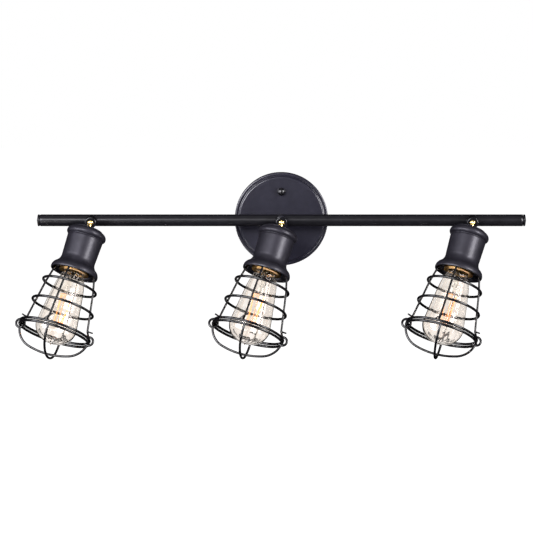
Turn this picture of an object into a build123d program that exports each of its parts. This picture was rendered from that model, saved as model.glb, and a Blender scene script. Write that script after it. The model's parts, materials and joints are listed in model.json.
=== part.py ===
from build123d import *
from math import asin, atan2, cos, radians, sin, sqrt
import os

# Vanity light bar: a round wall canopy, a horizontal round bar and three caged swivel heads.
# Millimetres. +X is right along the bar, +Z is up, and the room is on the -Y side of the wall plane y = 0.
# The origin is on the wall, midway between the two screws that hold the mounting plate to its box.

# Fits and contact gaps
running_gap = 0.05  # radial, shank in bore and face to face
ball_gap = 0.1  # ball to its seat and collar
seat_gap = 0.05  # a fixed piece in the hole or on the face that holds it
weld_sink = 0.5  # how deep one welded wire sinks into another

# Wall side
plate_thickness = 2.0
plate_arm_width = 22.0
plate_edge_margin = 9.0  # hole centre to the end of its arm
plate_corner_radius = 2.0
plate_wire_hole_radius = 9.5
box_screw_spacing = 88.9
box_screw_hole_radius = 2.4
stud_spacing = 75.0
stud_radius = 2.1
stud_nut_across_flats = 8.0
stud_nut_height = 3.2
ground_screw_radius = 2.0
ground_screw_head_radius = 4.0
ground_screw_head_height = 2.4
ground_screw_offset = 27.0
canopy_diameter = 127.0
canopy_depth = 22.0
canopy_wall = 1.2
canopy_step_width = 5.5
canopy_step_height = 4.0
canopy_edge_radius = 2.0
knob_radius = 5.5
knob_height = 7.0
knob_base_height = 2.2
knob_thread_depth = 4.6
wire_nut_length = 21.0
wire_nut_mouth_radius = 6.5
wire_nut_tip_radius = 4.0
wire_nut_bore_radius = 2.0
wire_nut_bore_depth = 14.7
wire_nut_offset = 28.0
wire_nut_lift = 17.0  # from the canopy's centre up to the open ends
lead_radius = 1.0
lead_bend_radius = 2.0
lead_offset = 2.6  # above and below the bar's axis, in the bar
lead_setback = 2.0  # towards the wall from the bar's axis
lead_overrun = 10.0  # past the outer swivels
lead_spread = 1.3  # each side of the stem's axis, in the stem
lead_twist = 0.3  # above and below the stem's axis, in the stem
lead_end_depth = 10.5  # into its connector

# Stem between canopy and bar
stem_radius = 7.5
nipple_radius = 5.0
nipple_bore_radius = 3.6
nipple_reach_in = 6.0  # into the canopy, from the inner face
locknut_across_flats = 17.0
locknut_height = 3.0
locknut_washer_radius = 11.0
locknut_washer_thickness = 1.0

# Bar
bar_length = 660.0
bar_diameter = 16.0
bar_wall = 1.5
bar_standoff = 52.0  # wall to bar axis
cap_rim = 1.4
cap_dome_height = 2.2
cap_plug_length = 8.0
cap_plug_wall = 1.5
cap_floor = 0.5  # from the rim's step into the plug

# Swivels
outer_head_inset = 74.0  # bar end to the outer swivels
collar_droop = 4.5  # degrees that each swivel axis leans below the horizontal
ball_clearance = 17.0  # bar surface to ball centre
ball_radius = 5.0
collar_radius = 7.75
collar_mouth = 3.0  # ball centre to the collar's mouth
collar_edge_radius = 1.2
collar_floor = 2.1
rivet_radius = 3.5
rivet_bore_radius = 2.2
rivet_flange_gap = 0.1  # radial, flange to the ball's own radius
rivet_flange_thickness = 1.4
rivet_flare_radius = 4.4
rivet_flare_thickness = 1.2
saddle_radius = 6.5
saddle_height = 1.2  # from the bar's crest to the face the collar turns on
rest_pan = -18.0  # degrees, the heads at rest swing to the left
rest_tilt = 66.5  # degrees between the collar's axis and the head's axis at rest

# Head: depths are measured from the ball's centre along the head's axis
stem_tube_radius = 3.6
stem_tube_bore_radius = 2.0
slot_gap = 0.3  # each side of the stem in the collar's slot
cup_wall = 1.2
cup_top_depth = 7.9
cup_crown_fall = 2.4  # from its centre to its shoulder
cup_shoulder_radius = 20.5
cup_bead_radius = 26.8
cup_bead_depth = 17.5
cup_body_top_radius = 24.3
cup_body_top_depth = 22.5
cup_body_bottom_radius = 23.2
cup_body_bottom_depth = 51.5
cup_bead_under_swell = 0.67  # bulge of each arc beyond its chord
cup_bead_over_swell = 1.67
cup_flare_hollow = 1.65
cup_flare_roll = 0.97
cup_flare_middle_depth = 63.8
cup_flare_radius = 32.3
cup_flare_depth = 70.9
cup_lip_depth = 73.9
stem_nut_across_flats = 14.0
stem_nut_height = 4.0
stem_washer_radius = 8.0
stem_washer_thickness = 1.0
holder_top_depth = 30.0
holder_top_thickness = 6.0
holder_radius = 18.2
holder_bore_radius = 15.2
holder_shoulder_radius = 20.8
holder_shoulder_depth = 60.0
holder_shoulder_thickness = 4.3
holder_thread_radius = 18.0
holder_length = 40.0
clamp_washer_radius = 24.0
clamp_washer_thickness = 1.2
clamp_washer_gap = 0.4  # around the lampholder's thread
shade_ring_radius = 20.0
shade_ring_height = 7.1
shade_ring_lip_radius = 14.4
shade_ring_lip_thickness = 1.2
shell_radius = 13.85
shell_wall = 0.5
shell_bottom_depth = 66.0
shell_rim_radius = 11.6
contact_width = 6.0
contact_length = 18.0
contact_thickness = 0.6
contact_post_radius = 1.5
contact_post_offset = 6.0

# Wire cage and guard
cage_wire_radius = 1.4
hoop_wire_radius = 1.75
guard_wire_radius = 1.6
prong_wire_radius = 1.1
rib_count = 4
rib_azimuth = -9.0
rib_bend_radius = 3.0
rib_elbow_radius = 27.6
rib_elbow_depth = 68.3
first_hoop_rib_radius = 33.8
first_hoop_depth = 92.6
second_hoop_depth = 122.6
rib_kink_radius = 43.1
rib_kink_depth = 146.6
cage_ring_radius = 47.8
cage_ring_depth = 155.95
prong_length = 7.5
prong_skew = 45.0
prong_rise = 0.8
catch_leg_azimuth = 6.0  # from its rib, on the side away from the guard's eye
guard_ring_drop = 4.1
guard_azimuth = -4.5
guard_depth = 35.7  # from the cage ring down to the lower wire's centre
guard_corner_radius = 28.0
guard_hook_bow_angle = 11.0  # where the hooked bow's arc begins, below its level
eye_radius = 5.75
eye_offset = 0.1
hook_tip_angle = 50.0
hook_root_angle = 38.0

# Lamp
lamp_base_radius = 13.1
lamp_base_wall = 0.4
lamp_base_top_depth = 46.0
lamp_base_length = 23.0
lamp_insulator_height = 3.4
lamp_contact_radius = 4.8
lamp_contact_depth = 42.0
glass_wall = 0.9
glass_neck_radius = 12.3
glass_neck_depth = 62.0
glass_swell = ((16.2, 79.9), (19.9, 93.0), (23.9, 120.0))  # radius and depth, neck to widest
glass_neck_sink = 0.5  # the straight neck ends inside the base's rim
glass_bottom_swell = 6.97
glass_nib_radius = 2.4
glass_max_radius = 27.8
glass_max_depth = 151.0
glass_bottom_depth = 173.0
glass_tip_depth = 177.9
mount_tube_radius = 4.0
mount_tube_wall = 1.2
mount_flare_depth = 64.0
mount_flare_height = 4.0
mount_press_width = 8.8
mount_press_thickness = 4.0
mount_press_depth = 92.0
mount_press_height = 8.0
mount_rod_radius = 1.4
mount_rod_end_depth = 147.0
filament_radius = 0.3
filament_bead_radius = 0.45
filament_ring_radius = 8.0
filament_top_depth = 106.0
filament_strands = 6
filament_first_azimuth = 30.0
filament_twist = 20.0  # from a strand's upper end to its lower one
filament_bottom_radius = 6.4
filament_bottom_depth = 144.0
filament_lead_spread = 3.2  # where its two leads leave the press, each side of the axis

BASE = (Align.CENTER, Align.CENTER, Align.MIN)
SIDES = {"left": -1, "centre": 0, "right": 1}
bar_radius = bar_diameter / 2
bar_bore_radius = bar_radius - bar_wall
head_spacing = bar_length / 2 - outer_head_inset
ball_distance = bar_radius + ball_clearance
rivet_flange_radius = ball_radius - rivet_flange_gap
canopy_radius = canopy_diameter / 2
slot_half_width = stem_tube_radius + slot_gap
guard_ring_depth = cage_ring_depth + guard_ring_drop
saddle_face = bar_radius + saddle_height
collar_base = saddle_face + running_gap
collar_floor_top = collar_base + collar_floor
collar_bore_radius = ball_radius + ball_gap


# ---- small shape helpers -------------------------------------------------------------------------


def rod(radius, low, high):
    """A cylinder about Z from low to high."""
    return Pos(0, 0, low) * Cylinder(radius, high - low, align=BASE)


def tube(outer, inner, low, high):
    """A straight tube about Z."""
    return rod(outer, low, high) - rod(inner, low - 1, high + 1)


def turned(*edges):
    """A solid turned about Z from edges drawn as (radius, height), which close on themselves."""
    return revolve(make_face(Plane.XZ * Curve(edges)), axis=Axis.Z)


def hexagon(across_flats, low, high):
    """A hexagonal bar about Z."""
    flat = RegularPolygon(across_flats / 2, 6, major_radius=False)
    return Pos(0, 0, low) * extrude(flat, high - low)


def wire(radius, path):
    """A round wire along a path."""
    return sweep(Plane(path @ 0, z_dir=path % 0) * Circle(radius), path=path)


def dome_arc(radius, low, high):
    """Round outline of a dome, from its rim up to its crown on the axis."""
    rise = high - low
    ball = (radius**2 + rise**2) / (2 * rise)
    half_turn = asin(radius / ball) / 2
    middle = (ball * sin(half_turn), high - ball + ball * cos(half_turn))
    return ThreePointArc((radius, low), middle, (0, high))


def polar(radius, azimuth, height):
    """A point at a radius and azimuth about Z."""
    turn = radians(azimuth)
    return (radius * cos(turn), radius * sin(turn), height)


def fused(pieces):
    """Every piece of a list welded into one."""
    whole = pieces[0]
    for piece in pieces[1:]:
        whole = whole + piece
    return whole


# ---- places --------------------------------------------------------------------------------------


def from_wall():
    """Z runs out of the wall into the room, X right and Y up."""
    return Plane(origin=(0, 0, 0), x_dir=(1, 0, 0), z_dir=(0, -1, 0))


def along_bar():
    """Z runs along the bar to the right, X towards the room and Y up."""
    return Plane(origin=(0, -bar_standoff, 0), x_dir=(0, -1, 0), z_dir=(1, 0, 0))


def collar_direction():
    """Unit vector out of the bar along each swivel's axis."""
    droop = radians(collar_droop)
    return Vector(0, -cos(droop), -sin(droop))


def along_collar(side):
    """Z runs out of the bar along one swivel's axis."""
    origin = (SIDES[side] * head_spacing, -bar_standoff, 0)
    return Plane(origin=origin, x_dir=(1, 0, 0), z_dir=collar_direction())


def slot_direction():
    """Unit vector across the swivel's axis, towards its slot at rest."""
    droop = radians(collar_droop)
    below = Vector(0, sin(droop), -cos(droop))
    return below * cos(radians(rest_pan)) + Vector(1, 0, 0) * sin(radians(rest_pan))


def along_head(side):
    """Z runs up the head's axis from the ball's centre, so the head lies at negative heights."""
    out = collar_direction()
    tilt = radians(rest_tilt)
    up = -(out * cos(tilt) + slot_direction() * sin(tilt))
    right = Vector(1, 0, 0) - up * up.X
    centre = Vector(SIDES[side] * head_spacing, -bar_standoff, 0) + out * ball_distance
    return Plane(origin=centre, x_dir=right.normalized(), z_dir=up)


# ---- wall side -----------------------------------------------------------------------------------


def mounting_plate():
    """Cross-shaped plate with two box screw holes, two tapped stud holes and a wire hole."""
    across = box_screw_spacing + 2 * plate_edge_margin
    upright = stud_spacing + 2 * plate_edge_margin
    plate = Box(across, plate_arm_width, plate_thickness, align=BASE)
    plate += Box(plate_arm_width, upright, plate_thickness, align=BASE)
    plate = fillet(plate.edges().filter_by(Axis.Z), plate_corner_radius)
    plate -= rod(plate_wire_hole_radius, -1, plate_thickness + 1)
    for turn in (-1, 1):
        place = turn * box_screw_spacing / 2
        plate -= Pos(place, 0, 0) * rod(box_screw_hole_radius, -1, plate_thickness + 1)
        place = turn * stud_spacing / 2
        plate -= Pos(0, place, 0) * rod(stud_radius + seat_gap, -1, plate_thickness + 1)
    hole = rod(ground_screw_radius + seat_gap, -1, plate_thickness + 1)
    return plate - Pos(-ground_screw_offset, 0, 0) * hole


def canopy_outline(inset):
    """The canopy's section, brought in by an inset: rim, rounded edge, step and flat face."""
    rim = canopy_radius - inset
    step_top = canopy_depth - canopy_step_height - inset
    face = canopy_depth - inset
    step = canopy_radius - canopy_step_width - inset
    rim_round = canopy_edge_radius
    lean = rim_round * (1 - sqrt(0.5))
    back = -inset  # the inner outline runs past the open back
    return (
        Line((0, back), (rim, back)),
        Line((rim, back), (rim, step_top - rim_round)),
        ThreePointArc(
            (rim, step_top - rim_round),
            (rim - lean, step_top - lean),
            (rim - rim_round, step_top),
        ),
        Line((rim - rim_round, step_top), (step, step_top)),
        Line((step, step_top), (step, face - rim_round)),
        ThreePointArc(
            (step, face - rim_round),
            (step - lean, face - lean),
            (step - rim_round, face),
        ),
        Line((step - rim_round, face), (0, face)),
        Line((0, face), (0, back)),
    )


def canopy():
    """Stepped round cover, open at the wall, with a nipple hole and two stud holes."""
    cover = turned(*canopy_outline(0)) - turned(*canopy_outline(canopy_wall))
    cover -= rod(nipple_radius + seat_gap, 0, canopy_depth + 1)
    for turn in (-1, 1):
        hole = rod(stud_radius + seat_gap, 0, canopy_depth + 1)
        cover -= Pos(0, turn * stud_spacing / 2, 0) * hole
    return cover


def canopy_studs():
    """Two threaded studs that stand in the plate and reach into the knobs."""
    stud = rod(stud_radius, 0, canopy_depth + knob_thread_depth)
    return Compound([Pos(0, turn * stud_spacing / 2, 0) * stud for turn in (-1, 1)])


def stud_nuts():
    """Two nuts that lock the studs on the plate."""
    low = plate_thickness + seat_gap
    nut = hexagon(stud_nut_across_flats, low, low + stud_nut_height)
    nut -= rod(stud_radius + seat_gap, 0, canopy_depth)
    return Compound([Pos(0, turn * stud_spacing / 2, 0) * nut for turn in (-1, 1)])


def canopy_knobs():
    """Two domed cap nuts that hold the canopy against the wall."""
    low = canopy_depth + seat_gap
    bend = low + knob_base_height
    top = low + knob_height
    knob = turned(
        Line((0, low), (knob_radius, low)),
        Line((knob_radius, low), (knob_radius, bend)),
        dome_arc(knob_radius, bend, top),
        Line((0, top), (0, low)),
    )
    knob -= rod(stud_radius + seat_gap, 0, canopy_depth + knob_thread_depth + seat_gap)
    return Compound([Pos(0, turn * stud_spacing / 2, 0) * knob for turn in (-1, 1)])


def ground_screw():
    """Screw for the earth lead, in the plate's side arm."""
    head_low = plate_thickness + seat_gap
    head_high = head_low + ground_screw_head_height
    screw = rod(ground_screw_radius, 0, head_high)
    screw += rod(ground_screw_head_radius, head_low, head_high)
    return Pos(-ground_screw_offset, 0, 0) * screw


def wire_nut_depth():
    """Distance of the wire nuts' and leads' centre from the wall."""
    return (plate_thickness + canopy_depth - canopy_wall) / 2


def wire_nuts():
    """Two twist-on connectors in the canopy, mouths down."""
    shape = Cone(wire_nut_mouth_radius, wire_nut_tip_radius, wire_nut_length, align=BASE)
    nut = Rot(-90, 0, 0) * (shape - rod(wire_nut_bore_radius, -1, wire_nut_bore_depth))
    places = [(turn * wire_nut_offset, wire_nut_lift, wire_nut_depth()) for turn in (-1, 1)]
    return Compound([Pos(*place) * nut for place in places])


# ---- stem ----------------------------------------------------------------------------------------


def bar_in_wall_frame(radius):
    """The bar's round, seen from the wall frame, to shape what lies against it."""
    return Pos(0, 0, bar_standoff) * Rot(0, 90, 0) * Cylinder(radius, bar_length)


def stem_sleeve():
    """Round sleeve between canopy and bar, its end cut to sit on the bar."""
    sleeve = tube(
        stem_radius, nipple_radius + seat_gap, canopy_depth + seat_gap, bar_standoff
    )
    return sleeve - bar_in_wall_frame(bar_radius + seat_gap)


def stem_nipple():
    """Hollow threaded pipe from inside the canopy, through the sleeve, into the bar."""
    low = canopy_depth - canopy_wall - nipple_reach_in
    high = bar_standoff - bar_bore_radius + 1.0
    return tube(nipple_radius, nipple_bore_radius, low, high)


def stem_locknut():
    """Hexagonal nut and its washer, inside the canopy on the nipple."""
    face = canopy_depth - canopy_wall - seat_gap
    washer_low = face - locknut_washer_thickness
    nut_high = washer_low - seat_gap
    bore = nipple_radius + seat_gap
    washer = tube(locknut_washer_radius, bore, washer_low, face)
    nut = hexagon(locknut_across_flats, nut_high - locknut_height, nut_high)
    nut -= rod(bore, 0, canopy_depth)
    return Compound([washer, nut])


# ---- bar -----------------------------------------------------------------------------------------


def bar_tube():
    """Round tube with a hole for each swivel rivet and one for the stem's nipple."""
    half = bar_length / 2 - cap_rim - cap_dome_height
    body = along_bar().location * tube(bar_radius, bar_bore_radius, -half, half)
    for side in SIDES:
        hole = rod(rivet_radius + seat_gap, 0, bar_radius + 1)
        body -= along_collar(side).location * hole
    hole = rod(nipple_radius + seat_gap, bar_standoff - bar_radius - 1, bar_standoff)
    return body - from_wall().location * hole


def bar_end_caps():
    """Two domed end plugs pressed into the tube."""
    edge = bar_length / 2 - cap_dome_height
    inner = edge - cap_rim
    crown = bar_length / 2
    plug_end = inner - cap_plug_length
    cap_low = inner - cap_floor
    plug = bar_bore_radius - seat_gap
    cap = turned(
        Line((0, cap_low), (0, crown)),
        dome_arc(bar_radius, edge, crown),
        Line((bar_radius, edge), (bar_radius, inner + seat_gap)),
        Line((bar_radius, inner + seat_gap), (plug, inner + seat_gap)),
        Line((plug, inner + seat_gap), (plug, plug_end)),
        Line((plug, plug_end), (plug - cap_plug_wall, plug_end)),
        Line((plug - cap_plug_wall, plug_end), (plug - cap_plug_wall, cap_low)),
        Line((plug - cap_plug_wall, cap_low), (0, cap_low)),
    )
    return Compound([cap, Rot(0, 180, 0) * cap])


def bar_lead(turn):
    """One lead: along the bar past all three swivels, and back through the stem to its connector."""
    height = turn * lead_offset
    behind = bar_standoff - lead_setback
    reach = head_spacing + lead_overrun
    run = Pos(0, height, behind) * Rot(0, 90, 0) * Cylinder(lead_radius, 2 * reach)
    across = turn * lead_spread
    level = turn * lead_twist
    depth = wire_nut_depth()
    branch = FilletPolyline(
        (across, height - level * lead_setback, behind),
        (across, level, behind - bar_bore_radius),
        (across, level, depth),
        (turn * wire_nut_offset, level, depth),
        (turn * wire_nut_offset, wire_nut_lift + lead_end_depth, depth),
        radius=lead_bend_radius,
    )
    return run + wire(lead_radius, branch)


def bar_leads():
    """The line lead and the neutral lead, which the bar and the stem hold all the way."""
    return Compound([bar_lead(turn) for turn in (1, -1)])


# ---- swivels -------------------------------------------------------------------------------------


def swivel_saddles():
    """Three small seats between bar and collar, hollowed to fit the bar."""
    saddles = []
    for side in SIDES:
        seat = tube(saddle_radius, rivet_radius + seat_gap, bar_radius / 2, saddle_face)
        seat = along_collar(side).location * seat
        round_bar = along_bar().location * Cylinder(bar_radius + seat_gap, bar_length)
        saddles.append(seat - round_bar)
    return Compound(saddles)


def swivel_rivets():
    """Three hollow rivets: the pivots that the collars turn on."""
    flange_low = collar_floor_top + running_gap
    flange_high = flange_low + rivet_flange_thickness
    flare_high = sqrt(bar_bore_radius**2 - rivet_flare_radius**2) - seat_gap * 2
    flare_low = flare_high - rivet_flare_thickness
    rivet = rod(rivet_radius, flare_low, flange_high)
    rivet += rod(rivet_flange_radius, flange_low, flange_high)
    rivet += rod(rivet_flare_radius, flare_low, flare_high)
    rivet -= rod(rivet_bore_radius, flare_low - 1, flange_high + 1)
    return Compound([along_collar(side).location * rivet for side in SIDES])


def collar():
    """Slotted swivel collar: turns on its rivet and holds the ball in a round seat."""
    mouth = ball_distance + collar_mouth
    opening = sqrt(collar_bore_radius**2 - collar_mouth**2)
    edge = collar_edge_radius
    lean = edge * (1 - sqrt(0.5))
    bore = rivet_radius + running_gap
    half_mouth = collar_mouth / 2
    bulge = sqrt(collar_bore_radius**2 - half_mouth**2)
    shell = turned(
        Line((bore, collar_base), (collar_radius, collar_base)),
        Line((collar_radius, collar_base), (collar_radius, mouth - edge)),
        ThreePointArc(
            (collar_radius, mouth - edge),
            (collar_radius - lean, mouth - lean),
            (collar_radius - edge, mouth),
        ),
        Line((collar_radius - edge, mouth), (opening, mouth)),
        ThreePointArc(
            (opening, mouth),
            (bulge, ball_distance + half_mouth),
            (collar_bore_radius, ball_distance),
        ),
        Line((collar_bore_radius, ball_distance), (collar_bore_radius, collar_floor_top)),
        Line((collar_bore_radius, collar_floor_top), (bore, collar_floor_top)),
        Line((bore, collar_floor_top), (bore, collar_base)),
    )
    reach = collar_radius + 1
    slot = Pos(0, 0, ball_distance) * Rot(90, 0, 0) * rod(slot_half_width, 0, reach)
    block = Box(2 * slot_half_width, reach, collar_mouth + 1, align=BASE)
    slot += Pos(0, -reach / 2, ball_distance) * block
    return shell - Rot(0, 0, rest_pan) * slot


def ball_seat():
    """Hollow friction seat that presses on the back of the ball."""
    low = collar_floor_top + running_gap + rivet_flange_thickness + 2 * running_gap
    high = ball_distance - collar_mouth
    seat = tube(ball_radius, rivet_bore_radius + 0.4, low, high)
    return seat - Pos(0, 0, ball_distance) * Sphere(collar_bore_radius)


def ball_stem():
    """Brass ball on a hollow stem that carries the cup and the lampholder."""
    end = -(holder_top_depth + holder_top_thickness)
    ball = Sphere(ball_radius) + rod(stem_tube_radius, end, 0)
    return ball - rod(stem_tube_bore_radius, end - 1, ball_radius + 1)


def stem_nut():
    """Nut and washer that hold the cup up against the ball's stem."""
    bore = stem_tube_radius + seat_gap
    crown = stem_washer_radius**2 / cup_crown_radius() / 2
    washer_high = -(cup_top_depth + cup_wall + crown + 2 * seat_gap)
    washer_low = washer_high - stem_washer_thickness
    nut_high = washer_low - seat_gap
    washer = tube(stem_washer_radius, bore, washer_low, washer_high)
    nut = hexagon(stem_nut_across_flats, nut_high - stem_nut_height, nut_high)
    return Compound([washer, nut - rod(bore, nut_high - stem_nut_height - 1, 0)])


# ---- cup and lampholder --------------------------------------------------------------------------


def cup_crown_radius():
    """Radius of the shallow crown, from its width and its fall to the shoulder."""
    return (cup_shoulder_radius**2 + cup_crown_fall**2) / (2 * cup_crown_fall)


def cup_outline(inset, overrun):
    """The cup's section brought in by an inset; overrun carries the inner one past the lip."""
    crown = cup_crown_radius()
    top = -(cup_top_depth + inset)
    shoulder = cup_shoulder_radius - inset
    shoulder_z = top - (crown - sqrt(crown**2 - shoulder**2))
    bead = cup_bead_radius - inset
    bead_z = -cup_bead_depth
    body_top = cup_body_top_radius - inset
    body_bottom = cup_body_bottom_radius - inset
    flare = cup_flare_radius - inset
    lip_z = -(cup_lip_depth + overrun)
    middle = ((body_bottom + flare) / 2, -cup_flare_middle_depth)
    return (
        Line((0, top), (0, lip_z)),
        Line((0, lip_z), (flare, lip_z)),
        Line((flare, lip_z), (flare, -cup_flare_depth)),
        SagittaArc((flare, -cup_flare_depth), middle, -cup_flare_roll),
        SagittaArc(middle, (body_bottom, -cup_body_bottom_depth), cup_flare_hollow),
        Line((body_bottom, -cup_body_bottom_depth), (body_top, -cup_body_top_depth)),
        SagittaArc((body_top, -cup_body_top_depth), (bead, bead_z), -cup_bead_under_swell),
        SagittaArc((bead, bead_z), (shoulder, shoulder_z), -cup_bead_over_swell),
        ThreePointArc(
            (shoulder, shoulder_z),
            (shoulder / 2, top - (crown - sqrt(crown**2 - shoulder**2 / 4))),
            (0, top),
        ),
    )


def cup():
    """Turned cup: shallow crown, beaded shoulder, slightly tapered body and flared mouth."""
    shell = turned(*cup_outline(0, 0)) - turned(*cup_outline(cup_wall, 1))
    return shell - rod(stem_tube_radius + seat_gap, -cup_bead_depth, 0)


def lampholder():
    """Moulded lampholder body: closed top, shoulder for the cage's washer and outer thread."""
    top = -holder_top_depth
    shoulder_high = -holder_shoulder_depth
    shoulder_low = shoulder_high - holder_shoulder_thickness
    bottom = top - holder_length
    body = rod(holder_radius, shoulder_high, top)
    body += rod(holder_shoulder_radius, shoulder_low, shoulder_high)
    body += rod(holder_thread_radius, bottom, shoulder_low)
    body -= rod(holder_bore_radius, bottom - 1, top - holder_top_thickness)
    return body - rod(stem_tube_radius + seat_gap, top - holder_top_thickness - 1, top + 1)


def clamp_low():
    """Height of the underside of the cage's clamped washer."""
    face = holder_shoulder_depth + holder_shoulder_thickness
    return -(face + seat_gap + clamp_washer_thickness)


def shade_ring():
    """Threaded ring that clamps the cage's washer against the lampholder's shoulder."""
    high = clamp_low() - seat_gap
    low = high - shade_ring_height
    ring = tube(shade_ring_radius, holder_thread_radius + 2 * seat_gap, low, high)
    lip = tube(
        shade_ring_radius - 0.2, shade_ring_lip_radius, low, low + shade_ring_lip_thickness
    )
    return ring + lip


def holder_ceiling():
    """Height just below the closed top inside the lampholder."""
    return -(holder_top_depth + holder_top_thickness + seat_gap)


def screw_shell():
    """Thin screw shell that the lamp's base turns into."""
    high = holder_ceiling()
    shell = tube(shell_radius, shell_radius - shell_wall, -shell_bottom_depth, high)
    return shell + tube(shell_radius, shell_rim_radius, high - shell_wall, high)


def centre_contact():
    """Sprung tongue that meets the lamp's centre contact."""
    low = -lamp_contact_depth + ball_gap
    tongue = Box(contact_length, contact_width, contact_thickness, align=BASE)
    post = Pos(contact_post_offset, 0, 0) * rod(contact_post_radius, low, holder_ceiling())
    return Pos(0, 0, low) * tongue + post


# ---- cage and guard ------------------------------------------------------------------------------


def rib_radius_at(depth):
    """Radius of a rib's centreline at a depth on its straight lower run."""
    share = (depth - first_hoop_depth) / (rib_kink_depth - first_hoop_depth)
    return first_hoop_rib_radius + share * (rib_kink_radius - first_hoop_rib_radius)


def hoop(depth):
    """A hoop welded on the outside of the ribs."""
    outside = rib_radius_at(depth) + cage_wire_radius + hoop_wire_radius - weld_sink
    return Pos(0, 0, -depth) * Torus(outside, hoop_wire_radius)


def rib():
    """One rib in the X-Z plane: out from the washer, past both hoops, kinked out to the ring."""
    start = clamp_low() - cage_wire_radius + weld_sink
    path = FilletPolyline(
        (clamp_washer_radius - cage_wire_radius, 0, start),
        (rib_elbow_radius, 0, -rib_elbow_depth),
        (first_hoop_rib_radius, 0, -first_hoop_depth),
        (rib_kink_radius, 0, -rib_kink_depth),
        (cage_ring_radius - weld_sink, 0, -cage_ring_depth + 2 * weld_sink),
        radius=rib_bend_radius,
    )
    return wire(cage_wire_radius, path)


def prong():
    """Short skewed wire that stands out at a rib's kink."""
    skew = radians(prong_skew)
    tip = (
        rib_kink_radius + prong_length * cos(skew),
        prong_length * sin(skew),
        -rib_kink_depth + prong_rise,
    )
    return wire(prong_wire_radius, Line((rib_kink_radius, 0, -rib_kink_depth), tip))


def catch_leg():
    """Short wire from a rib's kink down to the ring, beside the rib's own foot."""
    head = (rib_kink_radius + weld_sink, 0, -rib_kink_depth - weld_sink)
    foot = polar(cage_ring_radius, -catch_leg_azimuth, -cage_ring_depth + weld_sink)
    return wire(prong_wire_radius, Line(head, foot))


def cage():
    """Welded wire cage: clamped washer, four ribs, two hoops and the ring the guard hangs on."""
    washer = tube(
        clamp_washer_radius,
        holder_thread_radius + clamp_washer_gap,
        clamp_low(),
        clamp_low() + clamp_washer_thickness,
    )
    pieces = [washer, hoop(first_hoop_depth), hoop(second_hoop_depth)]
    pieces.append(Pos(0, 0, -cage_ring_depth) * Torus(cage_ring_radius, hoop_wire_radius))
    for index in range(rib_count):
        turn = Rot(0, 0, rib_azimuth + index * 360 / rib_count)
        pieces.append(turn * rib())
        pieces.append(turn * prong())
        pieces.append(turn * catch_leg())
    return fused(pieces)


def guard_arc(span, drop, level, start_angle):
    """A half-oval wire that hangs below a level: two corner arcs joined by a wide bottom arc."""
    corner = guard_corner_radius
    wide = ((span - corner) ** 2 + drop**2 - corner**2) / (2 * (drop - corner))
    across = span - corner
    centre_z = level - (drop - wide)
    first = radians(start_angle)
    last = atan2(centre_z - level, across)
    half = (first + last) / 2
    start = (across + corner * cos(first), level - corner * sin(first))
    middle = (across + corner * cos(half), level - corner * sin(half))
    join = (across + corner * cos(last), level - corner * sin(last))
    right = ThreePointArc((start[0], 0, start[1]), (middle[0], 0, middle[1]), (join[0], 0, join[1]))
    bottom = ThreePointArc((join[0], 0, join[1]), (0, 0, level - drop), (-join[0], 0, join[1]))
    left = ThreePointArc(
        (-join[0], 0, join[1]), (-middle[0], 0, middle[1]), (-start[0], 0, start[1])
    )
    return wire(guard_wire_radius, Wire([right, bottom, left]))


def eye_centre():
    """Radius and height of the centre of the guard's eye and of its hook."""
    return cage_ring_radius + eye_offset, -(cage_ring_depth + guard_ring_depth) / 2


def guard_eye():
    """Closed wire loop around both rings: the guard's hinge."""
    radius, height = eye_centre()
    return Pos(-radius, 0, height) * Rot(90, 0, 0) * Torus(eye_radius, guard_wire_radius)


def guard_hook():
    """Open wire hook that snaps under the cage's ring."""
    radius, height = eye_centre()
    tip, root = radians(hook_tip_angle), radians(hook_root_angle)
    path = ThreePointArc(
        (radius - eye_radius * sin(root), 0, height - eye_radius * cos(root)),
        (radius + eye_radius, 0, height),
        (radius + eye_radius * cos(tip), 0, height + eye_radius * sin(tip)),
    )
    return wire(guard_wire_radius, path)


def guard():
    """Wire guard that closes the cage: its ring, two crossed bows, an eye and a hook."""
    level = eye_centre()[1]
    ring_height = -guard_ring_depth
    low_bow = guard_depth - guard_ring_drop
    crossing = 2 * guard_wire_radius - weld_sink
    high_bow = guard_depth - guard_ring_drop / 2 - crossing
    pieces = [
        Pos(0, 0, ring_height) * Torus(cage_ring_radius, hoop_wire_radius),
        Rot(0, 0, guard_azimuth + 90) * guard_arc(cage_ring_radius, low_bow, ring_height, 0),
        Rot(0, 0, guard_azimuth) * guard_arc(cage_ring_radius, high_bow, level, guard_hook_bow_angle),
        Rot(0, 0, guard_azimuth) * guard_eye(),
        Rot(0, 0, guard_azimuth) * guard_hook(),
    ]
    return fused(pieces)


# ---- lamp ----------------------------------------------------------------------------------------


def lamp_base():
    """Metal screw base with its insulator cone and centre contact."""
    high = -lamp_base_top_depth
    low = high - lamp_base_length
    skirt = tube(lamp_base_radius, lamp_base_radius - lamp_base_wall, low, high)
    low_edge = high - lamp_base_wall
    cone_height = lamp_insulator_height + lamp_base_wall
    top = Pos(0, 0, low_edge) * Cone(
        lamp_base_radius, lamp_contact_radius, cone_height, align=BASE
    )
    return skirt + top + rod(lamp_contact_radius, high, -lamp_contact_depth)


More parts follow.
